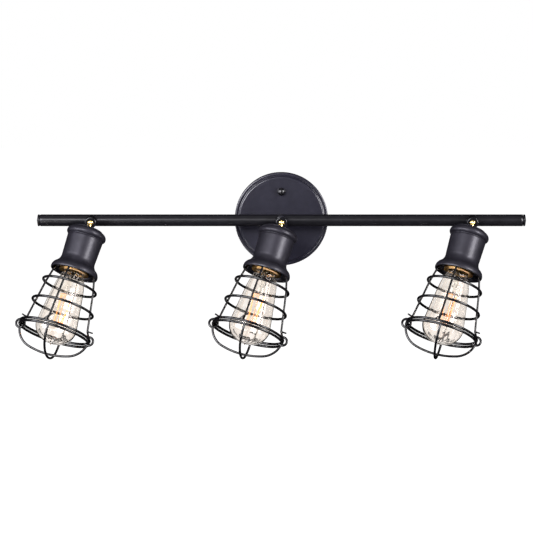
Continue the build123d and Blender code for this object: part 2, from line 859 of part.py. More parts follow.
def glass_outline(inset, overrun):
    """Section of the teardrop lamp glass, brought in by an inset."""
    neck = glass_neck_radius - inset
    neck_top = -glass_neck_depth + overrun
    widest = glass_max_radius - inset
    bottom = -glass_bottom_depth + inset
    tip = -glass_tip_depth + 3 * inset  # the nib is thick
    neck_low = -(lamp_base_top_depth + lamp_base_length) + glass_neck_sink
    swell = [(radius - inset, -depth) for radius, depth in glass_swell]
    return (
        Line((0, neck_top), (neck, neck_top)),
        Line((neck, neck_top), (neck, neck_low)),
        Spline(
            (neck, neck_low),
            *swell,
            (widest, -glass_max_depth),
            tangents=((0, -1), (0, -1)),
        ),
        SagittaArc((widest, -glass_max_depth), (glass_nib_radius, bottom), glass_bottom_swell),
        Line((glass_nib_radius, bottom), (0, tip)),
        Line((0, tip), (0, neck_top)),
    )


def bulb_glass():
    """Hollow teardrop envelope, open at its neck inside the base."""
    return turned(*glass_outline(0, 0)) - turned(*glass_outline(glass_wall, 1))


def bulb_mount():
    """Glass flare, tube, flattened press and centre rod that carry the filament."""
    neck_bore = glass_neck_radius - glass_wall - ball_gap
    flare_high = -mount_flare_depth
    flare_low = flare_high - mount_flare_height
    press_high = -mount_press_depth
    press_low = press_high - mount_press_height
    flare = Cone(mount_tube_radius, neck_bore, mount_flare_height, align=BASE)
    body = Pos(0, 0, flare_low) * flare + rod(mount_tube_radius, press_high - 1, flare_low + 1)
    bore_low = press_high + mount_press_thickness
    body -= rod(mount_tube_radius - mount_tube_wall, bore_low, flare_high + 1)
    press = Box(mount_press_thickness, mount_press_width, mount_press_height, align=BASE)
    body += Pos(0, 0, press_low) * press
    return body + rod(mount_rod_radius, -mount_rod_end_depth, press_low + 1)


def filament():
    """Tall cage-wound filament: one wire up and down round the rod, between its two leads."""
    ends = []
    for index in range(filament_strands):
        azimuth = filament_first_azimuth + index * 360 / filament_strands
        high = polar(filament_ring_radius, azimuth, -filament_top_depth)
        low = polar(filament_bottom_radius, azimuth + filament_twist, -filament_bottom_depth)
        ends += [high, low] if index % 2 == 0 else [low, high]
    press_low = -(mount_press_depth + mount_press_height) - filament_radius - ball_gap
    first = (0, filament_lead_spread, press_low)
    last = (0, -filament_lead_spread, press_low)
    corners = [first, *ends, last]
    pieces = [wire(filament_radius, Line(*pair)) for pair in zip(corners, corners[1:])]
    pieces += [Pos(*corner) * Sphere(filament_bead_radius) for corner in ends]
    return fused(pieces)


# ---- writing -------------------------------------------------------------------------------------


def write(name, place, shape):
    """Puts a piece in its place and writes it as parts/name.step."""
    export_step(place.location * shape, f"parts/{name}.step")


def main():
    os.makedirs("parts", exist_ok=True)
    wall, world = from_wall(), Plane.XY
    for name, make in (
        ("mounting_plate", mounting_plate),
        ("canopy", canopy),
        ("canopy_studs", canopy_studs),
        ("stud_nuts", stud_nuts),
        ("canopy_knobs", canopy_knobs),
        ("ground_screw", ground_screw),
        ("wire_nuts", wire_nuts),
        ("stem_sleeve", stem_sleeve),
        ("stem_nipple", stem_nipple),
        ("stem_locknut", stem_locknut),
        ("bar_leads", bar_leads),
    ):
        write(name, wall, make())
    write("bar_tube", world, bar_tube())
    write("bar_end_caps", along_bar(), bar_end_caps())
    write("swivel_saddles", world, swivel_saddles())
    write("swivel_rivets", world, swivel_rivets())
    for name, make in (("collar", collar), ("ball_seat", ball_seat)):
        shape = make()
        for side in SIDES:
            write(f"{name}_{side}", along_collar(side), shape)
    for name, make in (
        ("ball_stem", ball_stem),
        ("stem_nut", stem_nut),
        ("cup", cup),
        ("lampholder", lampholder),
        ("shade_ring", shade_ring),
        ("screw_shell", screw_shell),
        ("centre_contact", centre_contact),
        ("cage", cage),
        ("guard", guard),
        ("bulb_base", lamp_base),
        ("bulb_glass", bulb_glass),
        ("bulb_mount", bulb_mount),
        ("filament", filament),
    ):
        shape = make()
        for side in SIDES:
            write(f"{name}_{side}", along_head(side), shape)


main()
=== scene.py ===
import json
import logging
from dataclasses import dataclass, field
from enum import Enum

import bpy
import numpy as np
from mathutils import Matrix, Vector


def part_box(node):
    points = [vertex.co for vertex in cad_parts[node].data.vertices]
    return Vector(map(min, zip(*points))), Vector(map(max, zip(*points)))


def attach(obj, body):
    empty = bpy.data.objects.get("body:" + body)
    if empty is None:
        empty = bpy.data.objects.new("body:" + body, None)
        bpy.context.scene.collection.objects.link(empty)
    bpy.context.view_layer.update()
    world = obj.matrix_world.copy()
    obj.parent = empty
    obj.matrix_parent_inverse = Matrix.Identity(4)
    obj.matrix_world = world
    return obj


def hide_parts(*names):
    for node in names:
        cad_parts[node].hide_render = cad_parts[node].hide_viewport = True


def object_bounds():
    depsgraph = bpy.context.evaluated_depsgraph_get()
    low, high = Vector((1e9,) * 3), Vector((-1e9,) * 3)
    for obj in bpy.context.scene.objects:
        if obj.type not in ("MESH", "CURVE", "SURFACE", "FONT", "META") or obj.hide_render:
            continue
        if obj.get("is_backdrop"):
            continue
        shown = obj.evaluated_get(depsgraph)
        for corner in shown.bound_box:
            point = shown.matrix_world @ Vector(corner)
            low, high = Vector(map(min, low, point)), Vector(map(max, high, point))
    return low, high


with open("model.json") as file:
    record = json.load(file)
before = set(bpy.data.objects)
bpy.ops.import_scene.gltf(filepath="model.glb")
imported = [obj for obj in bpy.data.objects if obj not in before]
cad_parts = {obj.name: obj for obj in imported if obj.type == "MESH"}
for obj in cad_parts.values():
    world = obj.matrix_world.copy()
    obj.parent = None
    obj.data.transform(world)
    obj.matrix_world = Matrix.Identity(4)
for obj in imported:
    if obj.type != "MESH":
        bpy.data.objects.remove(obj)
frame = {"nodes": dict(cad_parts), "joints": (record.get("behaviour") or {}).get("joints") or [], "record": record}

# Vanity light bar: a round canopy and a bar that carries three swivelling, caged lampholders.
# Sizes are in millimetres about each sub-assembly's own axis; placing a point turns it into the
# frame's metres. A head's heights are measured from its ball's centre and are negative below it.

MM = 0.001
TURN = 2 * np.pi
SEAT_GAP = 0.06  # how far a seated piece stands off its neighbour
SLIP_GAP = 0.1  # how much smaller a plug is than its bore, on the radius
MIX_AMOUNT, MIX_LOW, MIX_HIGH = 0, 2, 3  # sockets of a mix of numbers
MIX_DARK, MIX_LIGHT, MIX_COLOUR = 6, 7, 2  # sockets of a mix of colours, the last an output
Array = np.ndarray
Colour = tuple[float, float, float]
log = logging.getLogger("vanity_light_bar")
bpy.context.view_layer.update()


# ---- named options -------------------------------------------------------------------------------


class Side(Enum):
    """The three heads along the bar."""

    LEFT = "left"
    CENTRE = "centre"
    RIGHT = "right"


class Ends(Enum):
    """How a surface closes along its rows."""

    LOOP = "loop"
    POLES = "poles"


class Grain(Enum):
    """The fine texture that a finish carries."""

    SPRAYED = "sprayed"
    TURNED = "turned"
    CAST = "cast"


# ---- places --------------------------------------------------------------------------------------


@dataclass(frozen=True)
class Axes:
    """An origin in metres and three unit directions: a maker's bench for one sub-assembly."""

    origin: Array
    right: Array
    back: Array
    up: Array

    def place(self, points: Array) -> Array:
        """Turns points in millimetres on these axes into metres in the frame.

        Args:
            points: Array whose last axis is (right, back, up).

        Returns:
            origin + 0.001 * (x right + y back + z up), with the same shape.
        """
        return self.origin + MM * points @ np.stack((self.right, self.back, self.up))

    def turned(self, degrees: float) -> "Axes":
        """Turns the axes about their own up direction.

        Args:
            degrees: Angle from right towards back.

        Returns:
            The turned axes.
        """
        angle = np.radians(degrees)
        right = self.right * np.cos(angle) + self.back * np.sin(angle)
        return Axes(self.origin, right, np.cross(self.up, right), self.up)

    def shifted(self, right: float = 0, back: float = 0, up: float = 0) -> "Axes":
        """Returns the same axes moved by millimetres along themselves."""
        move = MM * (right * self.right + back * self.back + up * self.up)
        return Axes(self.origin + move, self.right, self.back, self.up)


def unit(vector: Array) -> Array:
    """Returns vectors scaled to length one along their last axis."""
    return vector / np.linalg.norm(vector, axis=-1, keepdims=True)


def joint_named(name: str) -> dict:
    """Returns the frame's joint of that name."""
    return next(joint for joint in frame["joints"] if joint["name"] == name)


def wall_axes() -> Axes:
    """Returns axes on the wall with up pointing out into the room."""
    right, room = np.array([1.0, 0, 0]), np.array([0, -1.0, 0])
    return Axes(np.zeros(3), right, np.cross(room, right), room)


def bar_axes() -> Axes:
    """Returns axes at the bar's middle with up pointing along the bar to the right."""
    low, high = (np.array(corner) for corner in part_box("bar_tube"))
    along, room = np.array([1.0, 0, 0]), np.array([0, -1.0, 0])
    return Axes((low + high) / 2, room, np.cross(along, room), along)


def head_axes(side: Side) -> Axes:
    """Returns a head's axes: origin at its ball, up along the head towards the swivel.

    The tilt joint's low stop is where the head lies along the collar's axis, so the head's own
    axis is the collar's axis turned back by that stop about the tilt axis.

    Args:
        side: Which head.

    Returns:
        Axes whose right direction is the frame's X made square to the head.
    """
    pan, tilt = joint_named(f"pan_{side.value}"), joint_named(f"tilt_{side.value}")
    collar = unit(np.array(pan["axis"], float))
    hinge = unit(np.array(tilt["axis"], float))
    angle = np.radians(-tilt["range_deg"][0])
    up = -(collar * np.cos(angle) + np.cross(hinge, collar) * np.sin(angle))
    right = unit(np.array([1.0, 0, 0]) - up * up[0])
    return Axes(np.array(pan["pos_m"], float), right, np.cross(up, right), up)


# ---- outlines and paths --------------------------------------------------------------------------


def arc(start: tuple, end: tuple, bulge: float, steps: int = 16) -> Array:
    """A circular arc between two points of an outline.

    The circle through both ends that rises by bulge over their chord has radius
    (chord² / 4 + bulge²) / (2 bulge); points are spaced evenly in angle.

    Args:
        start: First point (radius, height).
        end: Last point.
        bulge: Height of the arc over its chord, to the left of the way from start to end.
        steps: Number of points, both ends included.

    Returns:
        Array of steps points.
    """
    first, last = np.array(start, float), np.array(end, float)
    chord = np.linalg.norm(last - first)
    ahead = (last - first) / chord
    left = np.array([-ahead[1], ahead[0]])
    radius = (chord**2 / 4 + bulge**2) / (2 * bulge)
    centre = (first + last) / 2 + left * (bulge - radius)
    half = np.arcsin(np.clip(chord / 2 / abs(radius), -1, 1))
    if abs(bulge) > chord / 2:
        half = np.pi - half
    sweep = np.linspace(-half, half, steps)[:, None]
    return centre + radius * (np.cos(sweep) * left + np.sin(sweep) * ahead * np.sign(radius))


def rounded(corners: list[tuple], steps: int = 7) -> Array:
    """A path through corners, each rounded by its own radius.

    At a corner of half-angle h the round starts radius / tan(h) from the corner, and its
    points are a quadratic blend of the two straight runs, close to a circle.

    Args:
        corners: Tuples whose last value is the rounding radius and the rest the point.
        steps: Points on each round.

    Returns:
        Array of points from the first corner to the last.
    """
    spots = np.array([corner[:-1] for corner in corners], float)
    pieces = [spots[:1]]
    for before, here, after, corner in zip(spots, spots[1:], spots[2:], corners[1:]):
        to_back, to_front = unit(before - here), unit(after - here)
        half = np.arccos(np.clip(to_back @ to_front, -1, 1)) / 2
        reach = corner[-1] / max(np.tan(half), 1e-6)
        share = np.linspace(0, 1, steps)[:, None]
        first, last = here + to_back * reach, here + to_front * reach
        blend = (1 - share) ** 2 * first + 2 * share * (1 - share) * here + share**2 * last
        pieces.append(blend)
    pieces.append(spots[-1:])
    return np.concatenate(pieces)


def closed_outline(corners: list[tuple], steps: int = 5) -> Array:
    """Returns a closed outline through rounded corners, ready for a looped surface."""
    start = tuple((np.array(corners[0][:2]) + np.array(corners[-1][:2])) / 2)
    return rounded([(*start, 0), *corners, (*start, 0)], steps)[:-1]


def flowing(points: Array, steps: int = 14) -> Array:
    """A smooth curve through points, each span a cubic whose slopes are half its neighbours' span.

    Args:
        points: Points to pass through.
        steps: Points on each span.

    Returns:
        Array of points from the first to the last.
    """
    spots = np.concatenate((2 * points[:1] - points[1:2], points, 2 * points[-1:] - points[-2:-1]))
    a, b, c, d = spots[:-3, None], spots[1:-2, None], spots[2:-1, None], spots[3:, None]
    t = np.linspace(0, 1, steps, endpoint=False)[None, :, None]
    spans = 0.5 * (
        2 * b + (c - a) * t + (2 * a - 5 * b + 4 * c - d) * t**2 + (3 * b - a - 3 * c + d) * t**3
    )
    return np.concatenate((spans.reshape(-1, points.shape[1]), points[-1:]))


def denser(path: Array, spacing: float) -> Array:
    """Spaces a path's points evenly.

    Args:
        path: Points to follow.
        spacing: Wanted distance between points.

    Returns:
        Points on the same path, with both ends kept.
    """
    lengths = np.concatenate(([0], np.cumsum(np.linalg.norm(np.diff(path, axis=0), axis=1))))
    wanted = np.linspace(0, lengths[-1], max(2, int(lengths[-1] / spacing) + 1))
    columns = [np.interp(wanted, lengths, path[:, axis]) for axis in range(path.shape[1])]
    return np.stack(columns, axis=1)


def in_plane(path: Array) -> Array:
    """Returns (x, z) points as points on the right-up plane."""
    return np.stack((path[:, 0], np.zeros(len(path)), path[:, 1]), axis=1)


# ---- surfaces ------------------------------------------------------------------------------------


def turned_grid(outline: Array, columns: int) -> Array:
    """A surface turned about the up axis: (r cos a, r sin a, z) over outline rows and angles.

    Args:
        outline: Rows of (radius, height).
        columns: Number of angles round the axis.

    Returns:
        Grid of points, rows by columns by 3.
    """
    angle = np.linspace(0, TURN, columns, endpoint=False)
    radius, height = outline[:, :1], outline[:, 1:]
    return np.stack(
        (radius * np.cos(angle), radius * np.sin(angle), height + 0 * angle), axis=-1
    )


def carried_grid(path: Array, radius: Array | float, square_to: Array, columns: int,
                 looped: bool = False) -> Array:
    """A round section carried along a path.

    With T the path's direction, N = unit(square_to × T) and B = T × N, each row is
    path + radius (cos a N + sin a B).

    Args:
        path: Centreline points.
        radius: One radius, or one for each point.
        square_to: A direction that the path never runs along.
        columns: Number of points round the section.
        looped: True if the last point joins the first.

    Returns:
        Grid of points, path by columns by 3.
    """
    if looped:
        ahead = np.roll(path, -1, axis=0) - np.roll(path, 1, axis=0)
    else:
        ahead = np.gradient(path, axis=0)
    ahead = unit(ahead)
    normal = unit(np.cross(square_to, ahead))
    across = np.cross(ahead, normal)
    angle = np.linspace(0, TURN, columns, endpoint=False)[None, :, None]
    size = np.broadcast_to(np.asarray(radius, float), len(path))[:, None, None]
    return path[:, None] + size * (np.cos(angle) * normal[:, None] + np.sin(angle) * across[:, None])


def capped_grid(path: Array, radius: float, square_to: Array, columns: int) -> Array:
    """A wire with round ends: a carried section whose radius follows a half circle at each end.

    Args:
        path: Centreline points.
        radius: The wire's radius.
        square_to: A direction that the path never runs along.
        columns: Number of points round the section.

    Returns:
        Grid of points whose first and last rows are single points.
    """
    turn = np.linspace(0, np.pi / 2, 6)
    start, end = unit(path[:1] - path[1:2]), unit(path[-1:] - path[-2:-1])
    lead_in = path[:1] + start * radius * np.cos(turn[:-1])[:, None]
    lead_out = path[-1:] + end * radius * np.sin(turn[1:])[:, None]
    whole = np.concatenate((lead_in, path, lead_out))
    sizes = np.concatenate(
        (radius * np.sin(turn[:-1]), np.full(len(path), radius), radius * np.cos(turn[1:]))
    )
    grid = carried_grid(whole, np.abs(sizes), square_to, columns)
    grid[0], grid[-1] = whole[0], whole[-1]
    return grid


def ball_grid(centre: Array, size: Array, rows: int = 12, columns: int = 16) -> Array:
    """An ellipsoid about a centre: size · (sin t cos a, sin t sin a, cos t).

    Args:
        centre: Its middle.
        size: Its three half sizes.
        rows: Points from pole to pole.
        columns: Points round it.

    Returns:
        Grid of points whose first and last rows are single points.
    """
    polar = np.linspace(0, np.pi, rows)[:, None]
    angle = np.linspace(0, TURN, columns, endpoint=False)[None, :]
    shape = (np.sin(polar) * np.cos(angle), np.sin(polar) * np.sin(angle), np.cos(polar) + 0 * angle)
    grid = centre + np.stack(shape, axis=-1) * size
    grid[0], grid[-1] = grid[0, 0], grid[-1, 0]
    return grid


@dataclass
class Skin:
    """Closed surfaces gathered into one mesh, with a map of turn (u) and metres along (v)."""

    name: str
    point_count: int = 0
    points: list[Array] = field(default_factory=list)
    quads: list[Array] = field(default_factory=list)
    triangles: list[Array] = field(default_factory=list)
    quad_map: list[Array] = field(default_factory=list)
    triangle_map: list[Array] = field(default_factory=list)

    def add(self, grid: Array, ends: Ends) -> "Skin":
        """Adds one closed surface in metres, its faces turned outwards.

        Rows join into strips of quads; at a pole the strip is triangles. A surface whose
        signed volume, the sum of a · (b × c) / 6 over its triangles, is negative is reversed.

        Args:
            grid: Rows of points round the surface.
            ends: Whether the rows loop or end in poles.

        Returns:
            This skin, so that calls can follow one another.
        """
        rows, columns = grid.shape[:2]
        steps = np.linalg.norm(np.diff(grid, axis=0), axis=2).mean(axis=1)
        along = np.concatenate(([0], np.cumsum(steps)))
        if ends is Ends.POLES:
            spots = np.concatenate((grid[:1, 0], grid[1:-1].reshape(-1, 3), grid[-1:, 0]))
            ids = np.zeros((rows, columns), int)
            ids[1:-1] = 1 + np.arange((rows - 2) * columns).reshape(rows - 2, columns)
            ids[-1] = len(spots) - 1
        else:
            spots = grid.reshape(-1, 3)
            ids = np.arange(rows * columns).reshape(rows, columns)
            ids = np.concatenate((ids, ids[:1]))
            closing = np.linalg.norm(grid[0] - grid[-1], axis=1).mean()
            along = np.append(along, along[-1] + closing)
        ids = np.concatenate((ids, ids[:, :1]), axis=1)
        spread = np.linspace(0, 1, columns + 1)
        chart = np.stack(np.broadcast_arrays(spread[None, :], along[:, None]), axis=-1)
        corners = self._strips(ids)
        charts = self._strips(chart)
        if ends is Ends.POLES:
            tris = np.concatenate((corners[0][:, [0, 1, 2]], corners[-1][:, [0, 1, 3]]))
            tri_map = np.concatenate((charts[0][:, [0, 1, 2]], charts[-1][:, [0, 1, 3]]))
            corners, charts = corners[1:-1], charts[1:-1]
        else:
            tris, tri_map = np.zeros((0, 3), int), np.zeros((0, 3, 2))
        quads, quad_map = corners.reshape(-1, 4), charts.reshape(-1, 4, 2)
        halves = np.concatenate((tris, quads[:, [0, 1, 2]], quads[:, [0, 2, 3]]))
        a, b, c = (spots[halves[:, corner]] - spots.mean(axis=0) for corner in range(3))
        if np.einsum("ij,ij->", a, np.cross(b, c)) < 0:
            quads, quad_map, tris, tri_map = (x[:, ::-1] for x in (quads, quad_map, tris, tri_map))
        self.points.append(spots)
        self.quads.append(quads + self.point_count)
        self.triangles.append(tris + self.point_count)
        self.quad_map.append(quad_map)
        self.triangle_map.append(tri_map)
        self.point_count += len(spots)
        return self

    @staticmethod
    def _strips(grid: Array) -> Array:
        """Returns the four corners of each cell of a grid, by strip, cell and corner."""
        return np.stack((grid[:-1, :-1], grid[1:, :-1], grid[1:, 1:], grid[:-1, 1:]), axis=2)

    def mesh(self) -> bpy.types.Object:
        """Writes the gathered surfaces into a mesh object at the origin.

        Returns:
            The linked object, smooth shaded, with its map named Wrap.
        """
        spots = np.concatenate(self.points)
        quads, tris = np.concatenate(self.quads), np.concatenate(self.triangles)
        made = bpy.data.meshes.new(self.name)
        made.vertices.add(len(spots))
        made.vertices.foreach_set("co", spots.astype(np.float32).ravel())
        corners = np.concatenate((quads.ravel(), tris.ravel())).astype(np.int32)
        made.loops.add(len(corners))
        made.loops.foreach_set("vertex_index", corners)
        starts = np.concatenate(
            (np.arange(len(quads)) * 4, len(quads) * 4 + np.arange(len(tris)) * 3)
        )
        made.polygons.add(len(starts))
        made.polygons.foreach_set("loop_start", starts.astype(np.int32))
        made.polygons.foreach_set("use_smooth", np.ones(len(starts), bool))
        chart = np.concatenate(
            [part.reshape(-1, 2) for part in (*self.quad_map, *self.triangle_map)]
        )
        layer = made.uv_layers.new(name="Wrap")
        layer.data.foreach_set("uv", chart.astype(np.float32).ravel())
        made.update(calc_edges=True)
        made.validate()
        piece = bpy.data.objects.new(self.name, made)
        bpy.context.scene.collection.objects.link(piece)
        return piece


# ---- finishes ------------------------------------------------------------------------------------


@dataclass
class Recipe:
    """A material under construction: its node tree and its main shader."""

    material: bpy.types.Material
    shader: bpy.types.Node

    @classmethod
    def start(cls, name: str) -> "Recipe":
        """Returns an empty recipe with one main shader."""
        material = bpy.data.materials.new(name)
        material.use_nodes = True
        return cls(material, material.node_tree.nodes["Principled BSDF"])

    def node(self, kind: str, **settings: object) -> bpy.types.Node:
        """Adds a node.

        Args:
            kind: The node's type name.
            settings: Its attributes.

        Returns:
            The node.
        """
        made = self.material.node_tree.nodes.new(kind)
        for key, value in settings.items():
            setattr(made, key, value)
        return made

    def join(self, source: bpy.types.NodeSocket, target: bpy.types.NodeSocket) -> None:
        """Links one socket to another."""
        self.material.node_tree.links.new(source, target)

    def set(self, **values: object) -> None:
        """Sets shader sockets by name, with underscores for spaces."""
        for key, value in values.items():
            self.shader.inputs[key.replace("_", " ")].default_value = value

    def noise(self, scale: float, detail: float = 3, rough: float = 0.6) -> bpy.types.NodeSocket:
        """Makes a soft random field over the object.

        Args:
            scale: Blotches to the metre.
            detail: How many finer fields are added.
            rough: How strong each finer field is beside the last.

        Returns:
            The field.
        """
        place = self.node("ShaderNodeTexCoord")
        made = self.node("ShaderNodeTexNoise")
        made.inputs["Scale"].default_value = scale
        made.inputs["Detail"].default_value = detail
        made.inputs["Roughness"].default_value = rough
        self.join(place.outputs["Object"], made.inputs["Vector"])
        return made.outputs["Fac"]

    def wrap(self, axis: str) -> bpy.types.NodeSocket:
        """Returns the turn (X) or the metres along (Y) from a turned piece's map."""
        chart = self.node("ShaderNodeUVMap", uv_map="Wrap")
        parts = self.node("ShaderNodeSeparateXYZ")
        self.join(chart.outputs["UV"], parts.inputs[0])
        return parts.outputs[axis]

    def rings(self, scale: float, detail: float = 4) -> bpy.types.NodeSocket:
        """Makes random rings along a turned piece.

        Args:
            scale: Rings to the metre.
            detail: How many finer fields are added.

        Returns:
            The field.
        """
        made = self.node("ShaderNodeTexNoise", noise_dimensions="1D")
        made.inputs["Scale"].default_value = scale
        made.inputs["Detail"].default_value = detail
        self.join(self.wrap("Y"), made.inputs["W"])
        return made.outputs["Fac"]

    def streaks(self, counts: tuple[int, ...]) -> bpy.types.NodeSocket:
        """Makes waves that run along a turned piece, the sum of sin(2π n u).

        Args:
            counts: The waves round the piece, n, one or more.

        Returns:
            The sum.
        """
        turn = self.wrap("X")
        waves = [self._wave(turn, count) for count in counts]
        total = waves[0]
        for wave in waves[1:]:
            step = self.node("ShaderNodeMath", operation="ADD")
            self.join(total, step.inputs[0])
            self.join(wave, step.inputs[1])
            total = step.outputs[0]
        return total

    def _wave(self, turn: bpy.types.NodeSocket, count: int) -> bpy.types.NodeSocket:
        """Makes sin(2π n u).

        Args:
            turn: The turn u.
            count: The number of waves n.

        Returns:
            The wave.
        """
        phase = self.node("ShaderNodeMath", operation="MULTIPLY")
        phase.inputs[1].default_value = TURN * count
        self.join(turn, phase.inputs[0])
        wave = self.node("ShaderNodeMath", operation="SINE")
        self.join(phase.outputs[0], wave.inputs[0])
        return wave.outputs[0]

    def spread(self, source: bpy.types.NodeSocket, low: float, high: float,
               start: float = 0.3, end: float = 0.7) -> bpy.types.NodeSocket:
        """Spreads a field's values over a range.

        Args:
            source: The field.
            low: Value given where the field is start.
            high: Value given where the field is end.
            start: Lower end of the field's values.
            end: Upper end of the field's values.

        Returns:
            The spread field, held between low and high.
        """
        made = self.node("ShaderNodeMapRange")
        sockets = ("From Min", "From Max", "To Min", "To Max")
        for socket, value in zip(sockets, (start, end, low, high)):
            made.inputs[socket].default_value = value
        self.join(source, made.inputs["Value"])
        return made.outputs["Result"]

    def mixed(self, source: bpy.types.NodeSocket, dark: Colour,
              light: Colour) -> bpy.types.NodeSocket:
        """Mixes two colours by a field.

        Args:
            source: The field.
            dark: Colour where the field is low.
            light: Colour where the field is high.

        Returns:
            The mixed colour.
        """
        made = self.node("ShaderNodeMix", data_type="RGBA")
        made.inputs[MIX_DARK].default_value = (*dark, 1)
        made.inputs[MIX_LIGHT].default_value = (*light, 1)
        self.join(self.spread(source, 0, 1), made.inputs[MIX_AMOUNT])
        return made.outputs[MIX_COLOUR]

    def tint(self, source: bpy.types.NodeSocket, dark: Colour, light: Colour) -> None:
        """Sets the base colour between two colours by a field."""
        self.join(self.mixed(source, dark, light), self.shader.inputs["Base Color"])

    def bump(self, source: bpy.types.NodeSocket, strength: float, depth: float,
             under: bpy.types.NodeSocket | None = None) -> bpy.types.NodeSocket:
        """Adds a relief to the surface.

        Args:
            source: Its heights.
            strength: How much of it shows, from 0 to 1.
            depth: Its depth in metres.
            under: An earlier relief that it lies over, if there is one.

        Returns:
            The relief.
        """
        made = self.node("ShaderNodeBump")
        made.inputs["Strength"].default_value = strength
        made.inputs["Distance"].default_value = depth
        self.join(source, made.inputs["Height"])
        if under is not None:
            self.join(under, made.inputs["Normal"])
        self.join(made.outputs["Normal"], self.shader.inputs["Normal"])
        return made.outputs["Normal"]


@dataclass(frozen=True)
class Coating:
    """An opaque finish: paint, plated metal, brass or moulding."""

    name: str
    slot: str
    dark: Colour
    light: Colour
    metallic: float
    roughness: tuple[float, float]
    grain: Grain = Grain.SPRAYED
    grain_scale: float = 900.0
    grain_depth: float = 0.00004
    coat: float = 0.0
    coat_roughness: float = 0.2
    specular: float = 0.5
    drift_scale: float = 70.0
    blotch_scale: float = 240.0
    cast_scale: float = 160.0
    ring_scale: float = 1500.0

    def material(self) -> bpy.types.Material:
        """Mixes the finish.

        Colour drifts between dark and light in broad blotches, roughness follows a finer field,
        and the relief is a sprayed, turned or cast grain.

        Returns:
            The material.
        """
        recipe = Recipe.start(self.name)
        recipe.set(Metallic=self.metallic, Coat_Weight=self.coat, Specular_IOR_Level=self.specular)
        recipe.set(Coat_Roughness=self.coat_roughness)
        recipe.tint(recipe.noise(self.drift_scale, 4), self.dark, self.light)
        fine = recipe.noise(self.grain_scale, 3)
        low, high = self.roughness
        if self.grain is Grain.TURNED:
            rings = recipe.rings(self.ring_scale)
            recipe.join(recipe.spread(rings, low, high), recipe.shader.inputs["Roughness"])
            under = recipe.bump(rings, 0.5, self.grain_depth)
            recipe.bump(fine, 0.2, self.grain_depth, under)
        elif self.grain is Grain.CAST:
            recipe.join(recipe.spread(fine, low, high), recipe.shader.inputs["Roughness"])
            lumps = recipe.noise(self.cast_scale, 5)
            under = recipe.bump(lumps, 0.5, self.grain_depth * 4)
            recipe.bump(fine, 0.5, self.grain_depth, under)
        else:
            blotch = recipe.noise(self.blotch_scale, 4)
            recipe.join(recipe.spread(blotch, low, high), recipe.shader.inputs["Roughness"])
            recipe.bump(fine, 0.35, self.grain_depth)
        return recipe.material


@dataclass(frozen=True)
class LampGlass:
    """Clear blown glass with faint waves, and darker streaks along it that are painted reflections."""

    name: str = "clear_lamp_glass"
    slot: str = "clear_glass"
    tint: Colour = (0.945, 0.92, 0.895)
    # Colour of the darker streaks: a painted reflection, not smoke in the glass.
    painted_reflection: Colour = (0.85, 0.79, 0.73)
    index: float = 1.45
    roughness: float = 0.02
    wave_depth: float = 0.0002
    streak_counts: tuple[int, ...] = (5, 9, 14)
    streak_depth: float = 0.0001

    def material(self) -> bpy.types.Material:
        """Mixes a transmitting glass whose surface waves gently; along the streaks its colour is darker, a painted
        reflection.

        Returns:
            The material.
        """
        recipe = Recipe.start(self.name)
        recipe.set(Base_Color=(*self.tint, 1), Transmission_Weight=1.0, IOR=self.index)
        recipe.set(Roughness=self.roughness)
        waves = recipe.bump(recipe.noise(60, 2), 0.25, self.wave_depth)
        if self.streak_counts:
            band = recipe.streaks(self.streak_counts)
            # Darker colour along the streaks: painted reflection.
            recipe.tint(recipe.spread(band, 0.3, 0.7, -2.2, 1.8), self.painted_reflection, self.tint)
            recipe.bump(band, 0.5, self.streak_depth, waves)
        return recipe.material


@dataclass(frozen=True)
class Glow:
    """Hot tungsten wire."""

    name: str = "hot_filament"
    slot: str = "filament_wire"
    colour: Colour = (1.0, 0.48, 0.13)
    cooler: Colour = (0.75, 0.25, 0.05)
    strength: float = 1.7

    def material(self) -> bpy.types.Material:
        """Mixes a metal that shines warm, a little cooler in places along the wire.

        Returns:
            The material.
        """
        recipe = Recipe.start(self.name)
        recipe.set(Metallic=1.0, Roughness=0.5, Emission_Strength=self.strength)
        recipe.tint(recipe.noise(400, 2), self.cooler, self.colour)
        heat = recipe.mixed(recipe.noise(90, 2), self.cooler, self.colour)
        recipe.join(heat, recipe.shader.inputs["Emission Color"])
        return recipe.material


